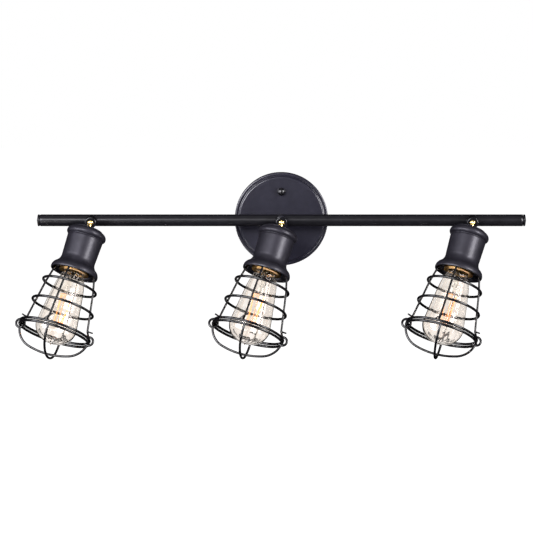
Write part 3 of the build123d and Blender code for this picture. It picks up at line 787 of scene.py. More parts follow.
class Finishes:
    """Every finish of the fixture, mixed once."""

    def __init__(self) -> None:
        """Mixes the finishes."""
        dark, light = (0.0035, 0.0032, 0.0045), (0.006, 0.0056, 0.0078)
        gold, pale_gold = (0.62, 0.40, 0.13), (0.86, 0.66, 0.30)
        paint, polish = "dark_bronze_paint", (0.14, 0.26)
        recipes = (
            Coating("bar_paint", paint, dark, light, 0.3, (0.30, 0.38), specular=0.4),
            Coating("canopy_paint", paint, (0.0078, 0.0072, 0.0135), (0.0115, 0.0108, 0.0190),
                    0.35, (0.28, 0.34), coat=0.3, coat_roughness=0.12),
            Coating("cup_paint", paint, (0.011, 0.0100, 0.0150), (0.018, 0.0165, 0.0240),
                    0.6, (0.42, 0.52), Grain.TURNED, grain_depth=0.00008, coat=0.1),
            Coating("collar_paint", paint, dark, light, 0.4, (0.22, 0.3), Grain.CAST,
                    grain_scale=1200, coat=0.3),
            Coating("wire_paint", "dark_bronze_wire", (0.002, 0.0018, 0.0024),
                    (0.0045, 0.004, 0.005), 0.35, (0.22, 0.32), grain_scale=1600,
                    grain_depth=0.00003, coat=0.3),
            Coating("swivel_brass", "brass", gold, pale_gold, 1.0, polish, Grain.TURNED,
                    grain_scale=1500, grain_depth=0.00001),
            Coating("plain_brass", "brass", gold, pale_gold, 1.0, polish, Grain.CAST,
                    grain_scale=1500, grain_depth=0.00001),
            # The shade ring's amber is partly aged brass and partly painted lamp glow: brighter and warmer than
            # the brass alone, standing in for the bulb lighting the cup's mouth.
            Coating("ring_brass_and_lamp_glow", "aged_brass", (0.55, 0.29, 0.08), (0.86, 0.54, 0.20), 1.0,
                    (0.26, 0.42), Grain.TURNED, grain_scale=1500, grain_depth=0.00002),
            Coating("lamp_base_metal", "lamp_base_brass", (0.55, 0.42, 0.22), (0.75, 0.62, 0.38),
                    1.0, (0.22, 0.36), Grain.TURNED, grain_scale=1500, grain_depth=0.00002),
            Coating("zinc_plate", "zinc_steel", (0.45, 0.45, 0.44), (0.62, 0.62, 0.62), 1.0,
                    (0.28, 0.45), Grain.CAST, grain_scale=700, grain_depth=0.00002),
            Coating("earth_screw_green", "green_screw", (0.02, 0.16, 0.05), (0.04, 0.26, 0.09),
                    0.2, (0.35, 0.5)),
            Coating("natural_nylon", "nylon", (0.62, 0.60, 0.52), (0.74, 0.72, 0.65), 0.0,
                    (0.4, 0.5)),
            Coating("black_moulding", "black_phenolic", (0.008, 0.007, 0.007),
                    (0.016, 0.014, 0.013), 0.0, (0.22, 0.34)),
            Coating("connector_orange", "connector_plastic", (0.55, 0.16, 0.02),
                    (0.75, 0.26, 0.04), 0.0, (0.35, 0.5)),
            Coating("lead_jacket", "lead_insulation", (0.012, 0.012, 0.012), (0.03, 0.03, 0.03),
                    0.0, (0.45, 0.6)),
            LampGlass(),
            LampGlass("mount_glass", tint=(0.97, 0.97, 0.95), streak_counts=()),
            Glow(),
        )
        self._slots = {recipe.name: recipe.slot for recipe in recipes}
        self._made = {recipe.name: recipe.material() for recipe in recipes}

    def dress(self, piece: bpy.types.Object, finish: str) -> None:
        """Gives a piece a finish.

        Args:
            piece: New mesh or CAD node.
            finish: The finish's name.
        """
        piece.data.materials.clear()
        piece.data.materials.append(self._made[finish])


FINISHES = Finishes()


def finished(skin: Skin, finish: str, body: str, *nodes: str) -> bpy.types.Object:
    """Makes a skin's mesh, dresses it, sets it on its body and hides the CAD nodes that it replaces.

    Args:
        skin: The gathered surfaces.
        finish: Name of the finish.
        body: The moving body it rides on.
        nodes: CAD nodes that it replaces.

    Returns:
        The finished piece.
    """
    piece = skin.mesh()
    FINISHES.dress(piece, finish)
    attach(piece, body)
    if nodes:
        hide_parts(*nodes)
    log.info("%s: %d faces on %s", piece.name, len(piece.data.polygons), body)
    return piece


# ---- canopy and bar ------------------------------------------------------------------------------


@dataclass(frozen=True)
class Canopy:
    """Stepped round cover with two domed cap nuts."""

    step_width: float = 5.5
    step_height: float = 4.0
    wall: float = 1.2
    edge: float = 2.0
    knob_radius: float = 5.5
    knob_base: float = 2.2
    knob_waist: float = 0.35
    knob_inset: float = 0.1

    def build(self) -> None:
        """Builds the cover and its cap nuts."""
        low, high = (np.array(corner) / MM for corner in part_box("canopy"))
        radius, depth = (high[0] - low[0]) / 2, -low[1]
        self._cover(radius, depth)
        self._knobs(depth)

    def _cover(self, rim: float, depth: float) -> None:
        """Turns the cover's section, out over the step to the rim and back inside.

        Args:
            rim: Outer radius.
            depth: Distance of the face from the wall.
        """
        step, ledge = rim - self.step_width, depth - self.step_height
        inner, inside = rim - self.wall, depth - self.wall
        section = rounded([
            (0, depth, 0), (step, depth, 2.0), (step, ledge, 0.5),
            (step + 1.0, ledge - 0.5, 0.4), (step + 2.0, ledge, 0.6), (rim, ledge, self.edge),
            (rim, 0, 0.4), (inner, 0, 0.4), (inner, ledge - self.wall, self.edge - self.wall),
            (step - self.wall, ledge - self.wall, 0.4), (step - self.wall, inside, 0.5),
            (0, inside, 0),
        ], 9)
        grid = wall_axes().place(turned_grid(denser(section, 0.35), 256))
        finished(Skin("canopy_cover").add(grid, Ends.POLES), "canopy_paint", "fixture", "canopy")

    def _knobs(self, depth: float) -> None:
        """Turns two cap nuts: a low drum with a waist under a dome.

        Args:
            depth: Distance of the canopy's face from the wall.
        """
        low, high = (np.array(corner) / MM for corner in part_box("canopy_knobs"))
        top = -low[1]
        spacing = (high[2] - low[2]) - 2 * self.knob_radius
        seam, drum_radius = depth + self.knob_base, self.knob_radius - self.knob_inset
        drum = rounded([
            (0, depth + SEAT_GAP, 0), (drum_radius, depth + SEAT_GAP, 0.3),
            (drum_radius, seam - 0.4, 0.3), (self.knob_radius - self.knob_waist, seam, 0.2),
        ], 6)
        rise = top - seam
        angle = np.linspace(0, np.pi / 2, 22)
        dome = np.stack((self.knob_radius * np.cos(angle), seam + rise * np.sin(angle)), axis=1)
        section = np.concatenate((drum, dome[:-1], [[0, top]]))
        skin = Skin("cap_nuts")
        for turn in (-1, 1):
            spot = wall_axes().shifted(back=turn * spacing / 2)
            skin.add(spot.place(turned_grid(section, 64)), Ends.POLES)
        finished(skin, "collar_paint", "fixture", "canopy_knobs")


@dataclass(frozen=True)
class Bar:
    """Round tube with a domed plug in each end."""

    wall: float = 1.5
    plug_rim: float = 1.4
    plug_depth: float = 6.0
    dome: float = 2.2
    brow: float = 0.62
    edge: float = 1.3

    def build(self) -> None:
        """Builds the tube and both end plugs."""
        low, high = (np.array(corner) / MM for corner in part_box("bar_tube"))
        radius, half = (high[2] - low[2]) / 2, (high[0] - low[0]) / 2
        inner = radius - self.wall
        section = closed_outline([
            (radius, -half, 0.25), (radius, half, 0.25), (inner, half, 0.25), (inner, -half, 0.25),
        ])
        grid = bar_axes().place(turned_grid(denser(section, 3.0), 96))
        finished(Skin("bar_tube_skin").add(grid, Ends.LOOP), "bar_paint", "fixture", "bar_tube")
        crown, foot = half + self.plug_rim + self.dome, half - self.plug_depth
        plug = inner - SLIP_GAP
        section = rounded([
            (0, foot, 0), (plug, foot, 0.3), (plug, half + SEAT_GAP, 0.05),
            (radius, half + SEAT_GAP, 0.2), (radius, crown - self.dome * self.brow, self.edge),
            (0, crown, 0),
        ], 9)
        section = denser(section, 0.3)
        section[0], section[-1] = (0, foot), (0, crown)
        skin = Skin("bar_plugs")
        for turn in (-1, 1):
            mirrored = section * np.array([1, turn])
            skin.add(bar_axes().place(turned_grid(mirrored, 96)), Ends.POLES)
        finished(skin, "bar_paint", "fixture", "bar_end_caps")


# ---- heads ---------------------------------------------------------------------------------------


@dataclass(frozen=True)
class BallStem:
    """Brass ball and hollow stem; a fine slot crosses the ball."""

    ball: float = 5.0
    stem: float = 3.6
    bore: float = 2.0
    end: float = 36.0
    slot_depth: float = 0.7
    slot_width: float = 0.55

    def build(self, side: Side) -> None:
        """Builds the ball and stem as one surface.

        The radius is that of the ball or the stem, whichever is larger, less a groove that
        follows exp(-(x / width)²) with x the distance from the plane through the head's axis.

        Args:
            side: Which head.
        """
        meet = np.arcsin(self.stem / self.ball)
        angle = np.linspace(np.arcsin(self.bore / self.ball), np.pi - meet, 60)
        ball = np.stack((self.ball * np.sin(angle), self.ball * np.cos(angle)), axis=1)
        neck = rounded([
            (self.stem, ball[-1, 1] - 0.1, 0), (self.stem, -self.end, 0.2),
            (self.bore, -self.end, 0.2), (self.bore, 0, 0),
        ])
        outline = np.concatenate((ball, denser(neck, 0.8)))
        grid = turned_grid(outline, 128)
        across = grid[..., 0]
        groove = self.slot_depth * np.exp(-((across / self.slot_width) ** 2))
        front = (grid[..., 1] < 0) & (np.arange(len(outline)) < len(ball))[:, None]
        shrink = 1 - np.where(front, groove, 0) / self.ball
        grid[..., :2] *= shrink[..., None]
        placed = head_axes(side).place(grid)
        name = side.value
        finished(Skin(f"ball_and_stem_{name}").add(placed, Ends.LOOP), "swivel_brass",
                 f"head_{name}", f"ball_stem_{name}")


@dataclass(frozen=True)
class Cup:
    """Turned and painted cup: shallow crown, bead between two grooves, body and flared mouth."""

    wall: float = 1.2
    crown: float = 7.9
    shoulder: tuple[float, float] = (20.5, 10.3)
    bead: tuple[float, float] = (26.8, 17.5)
    body_top: tuple[float, float] = (24.3, 22.5)
    body_bottom: tuple[float, float] = (23.2, 51.5)
    flare_middle: float = 63.8
    flare: tuple[float, float] = (32.3, 70.9)
    lip: float = 73.9
    groove: float = 0.6

    def outer(self) -> Array:
        """Returns the outer outline from the crown's centre to the lip."""
        shoulder = (self.shoulder[0], -self.shoulder[1])
        bead = (self.bead[0], -self.bead[1])
        body_top = (self.body_top[0], -self.body_top[1])
        body_bottom = (self.body_bottom[0], -self.body_bottom[1])
        flare = (self.flare[0], -self.flare[1])
        middle = ((body_bottom[0] + flare[0]) / 2, -self.flare_middle)
        edge = (shoulder[0] - 0.6, shoulder[1] + 0.15)
        rim = (shoulder[0] + 0.1, shoulder[1] - 0.7)
        floor = (rim[0] - self.groove, rim[1] - 0.5)
        step = (shoulder[0] + 0.5, rim[1] - 0.8)
        foot = (body_top[0] + 0.1, body_top[1] + 0.5)
        dip = (body_top[0] - self.groove, body_top[1] - 0.3)
        rise = (body_top[0] - 0.02, body_top[1] - 1.2)
        return np.concatenate((
            arc((0, -self.crown), edge, 1.1, 30),
            arc(edge, rim, 0.22, 8)[1:],
            arc(rim, floor, 0.1, 5)[1:],
            arc(floor, step, -0.2, 6)[1:],
            arc(step, bead, 1.5, 22)[1:],
            arc(bead, foot, 0.9, 14)[1:],
            arc(foot, dip, -0.15, 6)[1:],
            arc(dip, rise, -0.15, 6)[1:],
            denser(np.array([rise, body_bottom]), 1.2)[1:],
            arc(body_bottom, middle, -1.65, 20)[1:],
            arc(middle, flare, 0.97, 14)[1:],
            arc(flare, (flare[0] - 0.35, -self.lip), 0.25, 8)[1:],
        ))

    def build(self, side: Side) -> None:
        """Builds the cup's wall, its outline set in by the wall for the inside.

        Args:
            side: Which head.
        """
        outer = self.outer()
        ahead = np.gradient(outer, axis=0)
        inwards = unit(np.stack((ahead[:, 1], -ahead[:, 0]), axis=1))
        inner = (outer + self.wall * inwards)[::-1]
        inner[-1, 0] = 0
        inner = inner[inner[:, 0] >= 0]
        inner[0, 1] = outer[-1, 1]
        outline = np.concatenate((outer, inner))
        name = side.value
        grid = head_axes(side).place(turned_grid(outline, 192))
        finished(Skin(f"cup_shell_{name}").add(grid, Ends.POLES), "cup_paint",
                 f"head_{name}", f"cup_{name}")


@dataclass(frozen=True)
class ShadeRing:
    """Knurled brass ring that clamps the cage's washer on the lampholder."""

    radius: float = 20.0
    thread: float = 18.15
    lip: float = 14.4
    top: float = 65.6
    height: float = 7.1
    lip_thickness: float = 1.2
    knurls: int = 60
    knurl_depth: float = 0.35
    knurl_fade: float = 0.8
    knurl_share: float = 0.36

    def build(self, side: Side) -> None:
        """Builds the ring; its outer radius carries knurls, depth · (cos(n a) - 1) / 2.

        Args:
            side: Which head.
        """
        high, low = -self.top, -(self.top + self.height)
        section = closed_outline([
            (self.radius, high, 0.4), (self.radius, low, 0.5), (self.lip, low, 0.4),
            (self.lip, low + self.lip_thickness, 0.4), (self.thread, low + self.lip_thickness, 0.2),
            (self.thread, high, 0.3),
        ])
        section = denser(section, 0.4)
        grid = turned_grid(section, self.knurls * 8)
        angle = np.linspace(0, TURN, grid.shape[1], endpoint=False)
        share = np.clip((section[:, 0] - self.radius + self.knurl_fade) / self.knurl_fade, 0, 1)
        from_middle = np.abs(section[:, 1] - (high + low) / 2)
        band = share * (from_middle < self.height * self.knurl_share)
        wave = self.knurl_depth * (np.cos(self.knurls * angle) - 1) / 2
        grid[..., :2] *= (1 + band[:, None] * wave[None, :] / self.radius)[..., None]
        name = side.value
        placed = head_axes(side).place(grid)
        # The ring's finish carries painted lamp glow besides its brass colour.
        finished(Skin(f"shade_ring_brass_{name}").add(placed, Ends.LOOP), "ring_brass_and_lamp_glow",
                 f"head_{name}", f"shade_ring_{name}")


def hoop_grid(radius: float, depth: float, wire: float) -> Array:
    """A round wire hoop about the head's axis.

    Args:
        radius: Radius of the hoop's centreline.
        depth: Its depth below the ball.
        wire: The wire's radius.

    Returns:
        Grid of points, looped.
    """
    angle = np.linspace(0, TURN, 180, endpoint=False)
    path = np.stack((radius * np.cos(angle), radius * np.sin(angle), 0 * angle - depth), axis=1)
    return carried_grid(path, wire, np.array([0, 0, 1.0]), 20, looped=True)


@dataclass(frozen=True)
class Weld:
    """A small flattened bead, moved outwards and upwards from its joint, with three half sizes."""

    out: float
    up: float
    size: tuple[float, float, float]

    def grid(self, radius: float, height: float) -> Array:
        """Returns the bead's grid beside a joint at a radius and a height."""
        centre = np.array([radius + self.out, 0, height + self.up])
        return ball_grid(centre, np.array(self.size))


@dataclass(frozen=True)
class Cage:
    """Welded wire cage: washer, four ribs, two hoops, hanging ring, prongs and catch legs."""

    wire: float = 1.4
    hoop_wire: float = 1.75
    prong_wire: float = 1.1
    sink: float = 0.5
    ribs: int = 4
    azimuth: float = -9.0
    washer: tuple[float, float] = (18.4, 24.0)
    washer_top: float = 64.35
    washer_thickness: float = 1.2
    elbow: tuple[float, float] = (27.6, 68.3)
    upper: tuple[float, float] = (33.8, 92.6)
    lower_hoop: float = 122.6
    kink: tuple[float, float] = (43.1, 146.6)
    ring: tuple[float, float] = (47.8, 155.95)
    prong_length: float = 7.5
    prong_skew: float = 45.0
    prong_rise: float = 0.8
    catch_leg: float = 6.0
    bend: float = 3.0
    hoop_weld: Weld = Weld(0.1, 0.0, (1.1, 1.9, 1.9))
    ring_weld: Weld = Weld(-0.5, 0.8, (1.5, 2.2, 1.4))
    washer_weld: Weld = Weld(-2.2, -0.2, (2.2, 2.0, 1.1))
    kink_weld: Weld = Weld(0.2, 0.0, (1.7, 1.8, 1.9))

    def hoop_radius(self, depth: float) -> float:
        """Returns the radius of a hoop laid on the outside of the ribs at a depth."""
        rib = np.interp(depth, (self.upper[1], self.kink[1]), (self.upper[0], self.kink[0]))
        return rib + self.wire + self.hoop_wire - self.sink

    def build(self, side: Side) -> None:
        """Builds the cage in five pieces: washer, ribs, hoops, hanging ring and spot welds.

        Args:
            side: Which head.
        """
        axes, name = head_axes(side), side.value
        body, node = f"head_{name}", f"cage_{name}"
        top, low = -self.washer_top, -self.washer_top - self.washer_thickness
        section = closed_outline([
            (self.washer[1], top, 0.3), (self.washer[1], low, 0.3),
            (self.washer[0], low, 0.3), (self.washer[0], top, 0.3),
        ])
        washer = Skin(f"cage_washer_{name}").add(axes.place(turned_grid(section, 96)), Ends.LOOP)
        hoops = Skin(f"cage_hoops_{name}")
        for depth in (self.upper[1], self.lower_hoop):
            hoop = hoop_grid(self.hoop_radius(depth), depth, self.hoop_wire)
            hoops.add(axes.place(hoop), Ends.LOOP)
        hanger = axes.place(hoop_grid(*self.ring, self.hoop_wire))
        ring = Skin(f"cage_ring_{name}").add(hanger, Ends.LOOP)
        ribs, welds = Skin(f"cage_ribs_{name}"), Skin(f"cage_welds_{name}")
        for index in range(self.ribs):
            spot = axes.turned(self.azimuth + index * 360 / self.ribs)
            self._rib(ribs, spot)
            self._welds(welds, spot)
        for skin in (washer, hoops, ring, ribs, welds):
            finished(skin, "wire_paint", body, node)

    def _rib(self, skin: Skin, spot: Axes) -> None:
        """Adds one rib with its prong and its catch leg.

        Args:
            skin: Where the wires go.
            spot: The head's axes turned to the rib.
        """
        across, square = self.kink[0], np.array([0, 1.0, 0])
        start = -self.washer_top - self.washer_thickness - self.wire + self.sink
        path = rounded([
            (self.washer[1] - self.wire, start, 0), (self.elbow[0], -self.elbow[1], self.bend),
            (self.upper[0], -self.upper[1], self.bend), (across, -self.kink[1], self.bend),
            (self.ring[0] - self.sink, -self.ring[1] + 2 * self.sink, 0),
        ], 12)
        path = denser(in_plane(path), 1.0)
        skin.add(spot.place(capped_grid(path, self.wire, square, 20)), Ends.POLES)
        skew = np.radians(self.prong_skew)
        reach = np.array([np.cos(skew), np.sin(skew)]) * self.prong_length
        prong = np.array([
            (across, 0, -self.kink[1]),
            (across + reach[0], reach[1], -self.kink[1] + self.prong_rise),
        ])
        up = np.array([0, 0, 1.0])
        skin.add(spot.place(capped_grid(denser(prong, 0.8), self.prong_wire, up, 16)), Ends.POLES)
        swing = np.radians(-self.catch_leg)
        leg = np.array([
            (across + self.sink, 0, -self.kink[1] - self.sink),
            (self.ring[0] * np.cos(swing), self.ring[0] * np.sin(swing),
             -self.ring[1] + self.sink),
        ])
        skin.add(spot.place(capped_grid(denser(leg, 0.8), self.prong_wire, square, 16)), Ends.POLES)

    def _welds(self, skin: Skin, spot: Axes) -> None:
        """Adds the weld at each of a rib's crossings: hoops, hanging ring, washer and prong.

        Args:
            skin: Where the welds go.
            spot: The head's axes turned to the rib.
        """
        for depth in (self.upper[1], self.lower_hoop):
            inside = self.hoop_radius(depth) - self.hoop_wire
            skin.add(spot.place(self.hoop_weld.grid(inside, -depth)), Ends.POLES)
        skin.add(spot.place(self.ring_weld.grid(self.ring[0], -self.ring[1])), Ends.POLES)
        under = -self.washer_top - self.washer_thickness
        skin.add(spot.place(self.washer_weld.grid(self.washer[1], under)), Ends.POLES)
        skin.add(spot.place(self.kink_weld.grid(self.kink[0], -self.kink[1])), Ends.POLES)


@dataclass(frozen=True)
class Guard:
    """Wire guard: a ring, two crossed bows, a closed eye on the left and a hook on the right."""

    wire: float = 1.6
    ring_wire: float = 1.75
    radius: float = 47.8
    cage_ring: float = 155.95
    drop: float = 4.1
    depth: float = 35.7
    corner: float = 28.0
    azimuth: float = -4.5
    bow_start: float = 11.0
    sink: float = 0.5
    eye: float = 5.75
    eye_offset: float = 0.1
    hook_root: float = 38.0
    hook_tip: float = 100.0
    crossing_weld: Weld = Weld(0.0, 0.0, (1.9, 1.9, 1.3))

    def bow(self, drop: float, level: float, start: float) -> Array:
        """A half-oval bow: two corner arcs joined by a wide arc that is tangent to both.

        With the corners' centres at ±c from the axis, the wide arc's radius is
        (c² + drop² - corner²) / (2 (drop - corner)), so that it touches both corner arcs.

        Args:
            drop: How far its lowest point hangs below the level.
            level: Height of the corners' centres.
            start: Angle below the level at which each corner arc begins.

        Returns:
            Centreline points from right to left.
        """
        across = self.radius - self.corner
        wide = (across**2 + drop**2 - self.corner**2) / (2 * (drop - self.corner))
        centre = level - (drop - wide)
        first, last = np.radians(start), np.arctan2(centre - level, across)
        sweep = np.linspace(first, last, 40)
        side = across + self.corner * np.cos(sweep)
        right = np.stack((side, level - self.corner * np.sin(sweep)), 1)
        fan = np.linspace(last, np.pi - last, 60)[1:-1]
        bottom = np.stack((wide * np.cos(fan), centre - wide * np.sin(fan)), 1)
        left = right[::-1] * np.array([-1, 1])
        return denser(in_plane(np.concatenate((right, bottom, left))), 1.0)

    def loop(self, first: float, last: float, steps: int, looped: bool) -> Array:
        """Points round the eye's circle.

        Args:
            first: First angle in degrees from straight outwards.
            last: Last angle.
            steps: Number of points.
            looped: True to leave out the last point, where it would repeat the first.

        Returns:
            Centreline points.
        """
        angle = np.radians(np.linspace(first, last, steps, endpoint=not looped))
        level = -(self.cage_ring + self.drop / 2)
        middle = self.radius + self.eye_offset
        across = middle + self.eye * np.cos(angle)
        return np.stack((across, 0 * angle, level + self.eye * np.sin(angle)), 1)

    def build(self, side: Side) -> None:
        """Builds the ring, the bows, and the eye with its hook.

        Args:
            side: Which head.
        """
        name = side.value
        axes, square = head_axes(side), np.array([0, 1.0, 0])
        body, node = f"guard_{name}", f"guard_{name}"
        low = self.depth - self.drop
        high = self.depth - self.drop / 2 - (2 * self.wire - self.sink)
        ring_height = -(self.cage_ring + self.drop)
        level = -(self.cage_ring + self.drop / 2)
        hoop = axes.place(hoop_grid(self.radius, -ring_height, self.ring_wire))
        ring = Skin(f"guard_ring_{name}").add(hoop, Ends.LOOP)
        main, cross = axes.turned(self.azimuth), axes.turned(self.azimuth + 90)
        bows = Skin(f"guard_bows_{name}")
        under, over = self.bow(low, ring_height, 0), self.bow(high, level, self.bow_start)
        for spot, path in ((cross, under), (main, over)):
            bows.add(spot.place(capped_grid(path, self.wire, square, 20)), Ends.POLES)
        weld = self.crossing_weld.grid(0, ring_height - low + self.wire)
        bows.add(main.place(weld), Ends.POLES)
        clasp = Skin(f"guard_eye_and_hook_{name}")
        eye = self.loop(0, 360, 64, True) * np.array([-1, 1, 1])
        clasp.add(main.place(carried_grid(eye, self.wire, square, 20, looped=True)), Ends.LOOP)
        hook = self.loop(-90 - self.hook_root, self.hook_tip, 60, False)
        clasp.add(main.place(capped_grid(hook, self.wire, square, 20)), Ends.POLES)
        for skin in (ring, bows, clasp):
            finished(skin, "wire_paint", body, node)


OFF_STRANDS = np.array([0.31, 0.73, 0.11])  # a direction that no strand runs along
OFF_SUPPORTS = np.array([0.2, 0.1, 0.9])  # a direction that no support wire runs along


@dataclass(frozen=True)
class Lamp:
    """Teardrop filament lamp: screw base, blown glass, glass mount and cage-wound filament."""

    wall: float = 0.9
    neck: tuple[float, float] = (12.3, 62.0)
    neck_low: float = 69.5
    swell: tuple = ((16.2, 79.9), (19.9, 93.0), (23.9, 120.0))
    widest: tuple[float, float] = (27.8, 151.0)
    bottom: float = 173.0
    bottom_bulge: float = 6.97
    nib: tuple[float, float] = (2.4, 177.9)
    base_radius: float = 13.1
    base_top: float = 46.0
    base_length: float = 23.0
    insulator: float = 3.4
    contact: tuple[float, float] = (4.8, 42.0)
    thread_pitch: float = 3.6
    thread_depth: float = 0.9
    strands: int = 6
    first_strand: float = 30.0
    strand_twist: float = 20.0
    strand_top: tuple[float, float] = (8.0, 106.0)
    strand_bottom: tuple[float, float] = (6.4, 144.0)
    coil: float = 0.42
    coil_wire: float = 0.16
    coil_pitch: float = 0.95
    press: float = 100.4
    lead_spread: float = 3.2
    rod_end: float = 147.0
    support_wire: float = 0.16
    hook_rise: float = 4.0
    hook_fall: float = 2.5
    button: tuple[float, float, float] = (2.0, 2.0, 1.6)
    button_lift: float = 0.4

    def build(self, side: Side) -> None:
        """Builds the glass, the base, the filament and its support hooks.

        Args:
            side: Which head.
        """
        axes, name = head_axes(side), side.value
        self._glass(axes, name)
        self._base(axes, name)
        self._filament(axes, name)

    def _glass(self, axes: Axes, name: str) -> None:
        """Turns the envelope: the outer outline up from the nib, and the inner one back down.

        Args:
            axes: The head's axes.
            name: The head's name.
        """
        steps = 14
        start = np.array([(self.neck[0], -self.neck_low)])
        points = np.array([(radius, -depth) for radius, depth in (*self.swell, self.widest)])
        below = points[-1:] - [(0, 9.0)]
        lead = start + [(0, 6.0)]
        curve = flowing(np.concatenate((lead, start, points, below)), steps)[steps:-steps]
        belly, pinch = (self.widest[0], -self.widest[1]), (self.nib[0], -self.bottom)
        dome = arc(belly, pinch, self.bottom_bulge, 40)
        tip = arc(pinch, (0, -self.nib[1]), -0.5, 10)
        top = np.array([(self.neck[0], -self.neck[1]), (self.neck[0], -self.neck_low)])
        outer = np.concatenate((denser(top, 1.0)[:-1], curve, dome[1:], tip[1:]))
        inner = outer[outer[:, 0] > self.nib[0] + 0.4]
        ahead = unit(np.gradient(inner, axis=0))
        inner = inner + self.wall * np.stack((ahead[:, 1], -ahead[:, 0]), axis=1)
        floor = np.array([(0, inner[-1, 1] - 0.3)])
        outline = np.concatenate((outer[::-1], inner, floor))
        outline[0, 0] = 0
        skin = Skin(f"lamp_glass_{name}").add(axes.place(turned_grid(outline, 128)), Ends.POLES)
        finished(skin, "clear_lamp_glass", f"head_{name}", f"bulb_glass_{name}")

    def _base(self, axes: Axes, name: str) -> None:
        """Builds the screw base, its radius less depth · (1 + cos(2π z / pitch - a)) / 2.

        Args:
            axes: The head's axes.
            name: The head's name.
        """
        top, low = -self.base_top, -(self.base_top + self.base_length)
        skirt = denser(np.array([(self.base_radius, top), (self.base_radius, low)]), 0.45)
        inner = self.base_radius - self.thread_depth - 0.3
        section = np.concatenate((
            [(0, -self.contact[1])], [(self.contact[0] - 0.5, -self.contact[1])],
            [(self.contact[0], -self.contact[1] - 0.4)],
            [(self.contact[0], top + self.insulator - 3)],
            skirt, [(inner, low)], [(inner, top - 1)], [(0, top - 1)],
        ))
        grid = turned_grid(section, 96)
        angle = np.linspace(0, TURN, 96, endpoint=False)[None, :]
        height = section[:, 1:]
        threaded = (section[:, :1] == self.base_radius) & (height > low + 3) & (height < top - 1)
        wave = self.thread_depth * (1 + np.cos(TURN * height / self.thread_pitch - angle)) / 2
        grid[..., :2] *= (1 - threaded * wave / self.base_radius)[..., None]
        skin = Skin(f"lamp_base_{name}").add(axes.place(grid), Ends.POLES)
        finished(skin, "lamp_base_metal", f"head_{name}", f"bulb_base_{name}")

    def _filament(self, axes: Axes, name: str) -> None:
        """Winds each strand as a coil: a helix of radius coil about the line between its ends.

        Args:
            axes: The head's axes.
            name: The head's name.
        """
        ends = []
        for index in range(self.strands):
            azimuth = np.radians(self.first_strand + index * 360 / self.strands)
            low_azimuth = azimuth + np.radians(self.strand_twist)
            high = self._spot(self.strand_top, azimuth)
            low = self._spot(self.strand_bottom, low_azimuth)
            ends.append((high, low) if index % 2 == 0 else (low, high))
        coils, hooks = Skin(f"filament_coils_{name}"), Skin(f"filament_hooks_{name}")
        joins = [(ends[k][1], ends[k + 1][0]) for k in range(self.strands - 1)]
        for start, end in (*ends, *joins):
            coils.add(axes.place(self._coil(start, end)), Ends.POLES)
        leads = ((1, ends[0][0]), (-1, ends[-1][1]))
        for turn, end in leads:
            start = np.array([0, turn * self.lead_spread, -self.press])
            hooks.add(axes.place(self._straight(start, end)), Ends.POLES)
        middle = -(self.strand_top[1] + self.strand_bottom[1]) / 2
        for start, end in ends:
            for spot in (start, end):
                reach = self.hook_rise if spot[2] > middle else -self.hook_fall
                root = np.array([0, 0, spot[2] + reach])
                hooks.add(axes.place(self._straight(root, spot)), Ends.POLES)
        centre = np.array([0, 0, -self.rod_end + self.button_lift])
        button = axes.place(ball_grid(centre, np.array(self.button)))
        glass = Skin(f"mount_button_{name}").add(button, Ends.POLES)
        finished(coils, "hot_filament", f"head_{name}", f"filament_{name}")
        finished(hooks, "zinc_plate", f"head_{name}")
        finished(glass, "mount_glass", f"head_{name}")

    @staticmethod
    def _spot(place: tuple[float, float], azimuth: float) -> Array:
        """Returns the point at a radius and depth and at an azimuth."""
        return np.array([place[0] * np.cos(azimuth), place[0] * np.sin(azimuth), -place[1]])

    def _coil(self, start: Array, end: Array) -> Array:
        """Winds a fine coil.

        Args:
            start: Where it begins.
            end: Where it ends.

        Returns:
            Its grid.
        """
        line = end - start
        length = np.linalg.norm(line)
        ahead = line / length
        side = unit(np.cross(ahead, OFF_STRANDS))
        other = np.cross(ahead, side)
        turns = length / self.coil_pitch
        share = np.linspace(0, 1, int(turns * 10) + 2)[:, None]
        swing = share * turns * TURN
        path = start + share * line + self.coil * (np.cos(swing) * side + np.sin(swing) * other)
        return capped_grid(path, self.coil_wire, ahead, 6)

    def _straight(self, start: Array, end: Array) -> Array:
        """Returns a thin straight support wire's grid."""
        line = denser(np.stack((start, end)), 1.0)
        return capped_grid(line, self.support_wire, unit(np.cross(end - start, OFF_SUPPORTS)), 8)


# ---- carried-over CAD pieces ---------------------------------------------------------------------


def dress_frame() -> None:
    """Gives every CAD node the finish of its material slot."""
    by_slot = {
        "dark_bronze_paint": "collar_paint", "dark_bronze_wire": "wire_paint",
        # the aged brass finish also carries painted lamp glow
        "brass": "plain_brass", "aged_brass": "ring_brass_and_lamp_glow", "lamp_base_brass": "lamp_base_metal",
        "zinc_steel": "zinc_plate", "green_screw": "earth_screw_green", "nylon": "natural_nylon",
        "black_phenolic": "black_moulding", "connector_plastic": "connector_orange",
        "lead_insulation": "lead_jacket", "clear_glass": "mount_glass",
        "filament_wire": "hot_filament",
    }
    for part in frame["record"]["subparts"]:
        node = frame["nodes"][part["node"]]
        FINISHES.dress(node, by_slot[part["material_slot"]])


# ---- studio --------------------------------------------------------------------------------------


@dataclass(frozen=True)
class Softbox:
    """A soft rectangular light: where it hangs and its size in metres, and its power in watts."""

    name: str
    place: tuple[float, float, float]
    size: tuple[float, float]
    power: float
    colour: Colour


SOFTBOXES = (
    Softbox("key", (2.15, -1.75, 0.5), (1.0, 1.5), 135, (1.0, 0.99, 1.0)),
    Softbox("strip", (-1.3, -2.5, 0.85), (1.8, 0.8), 125, (0.97, 0.97, 1.0)),
    Softbox("fill", (-2.0, -1.0, 0.2), (0.9, 1.6), 48, (0.93, 0.93, 1.0)),
    Softbox("low", (-0.9, -2.0, -1.0), (0.9, 0.5), 14, (1.0, 0.98, 0.96)),
    Softbox("top", (-0.2, -0.5, 2.0), (1.4, 0.8), 3, (1, 1, 1)),
)


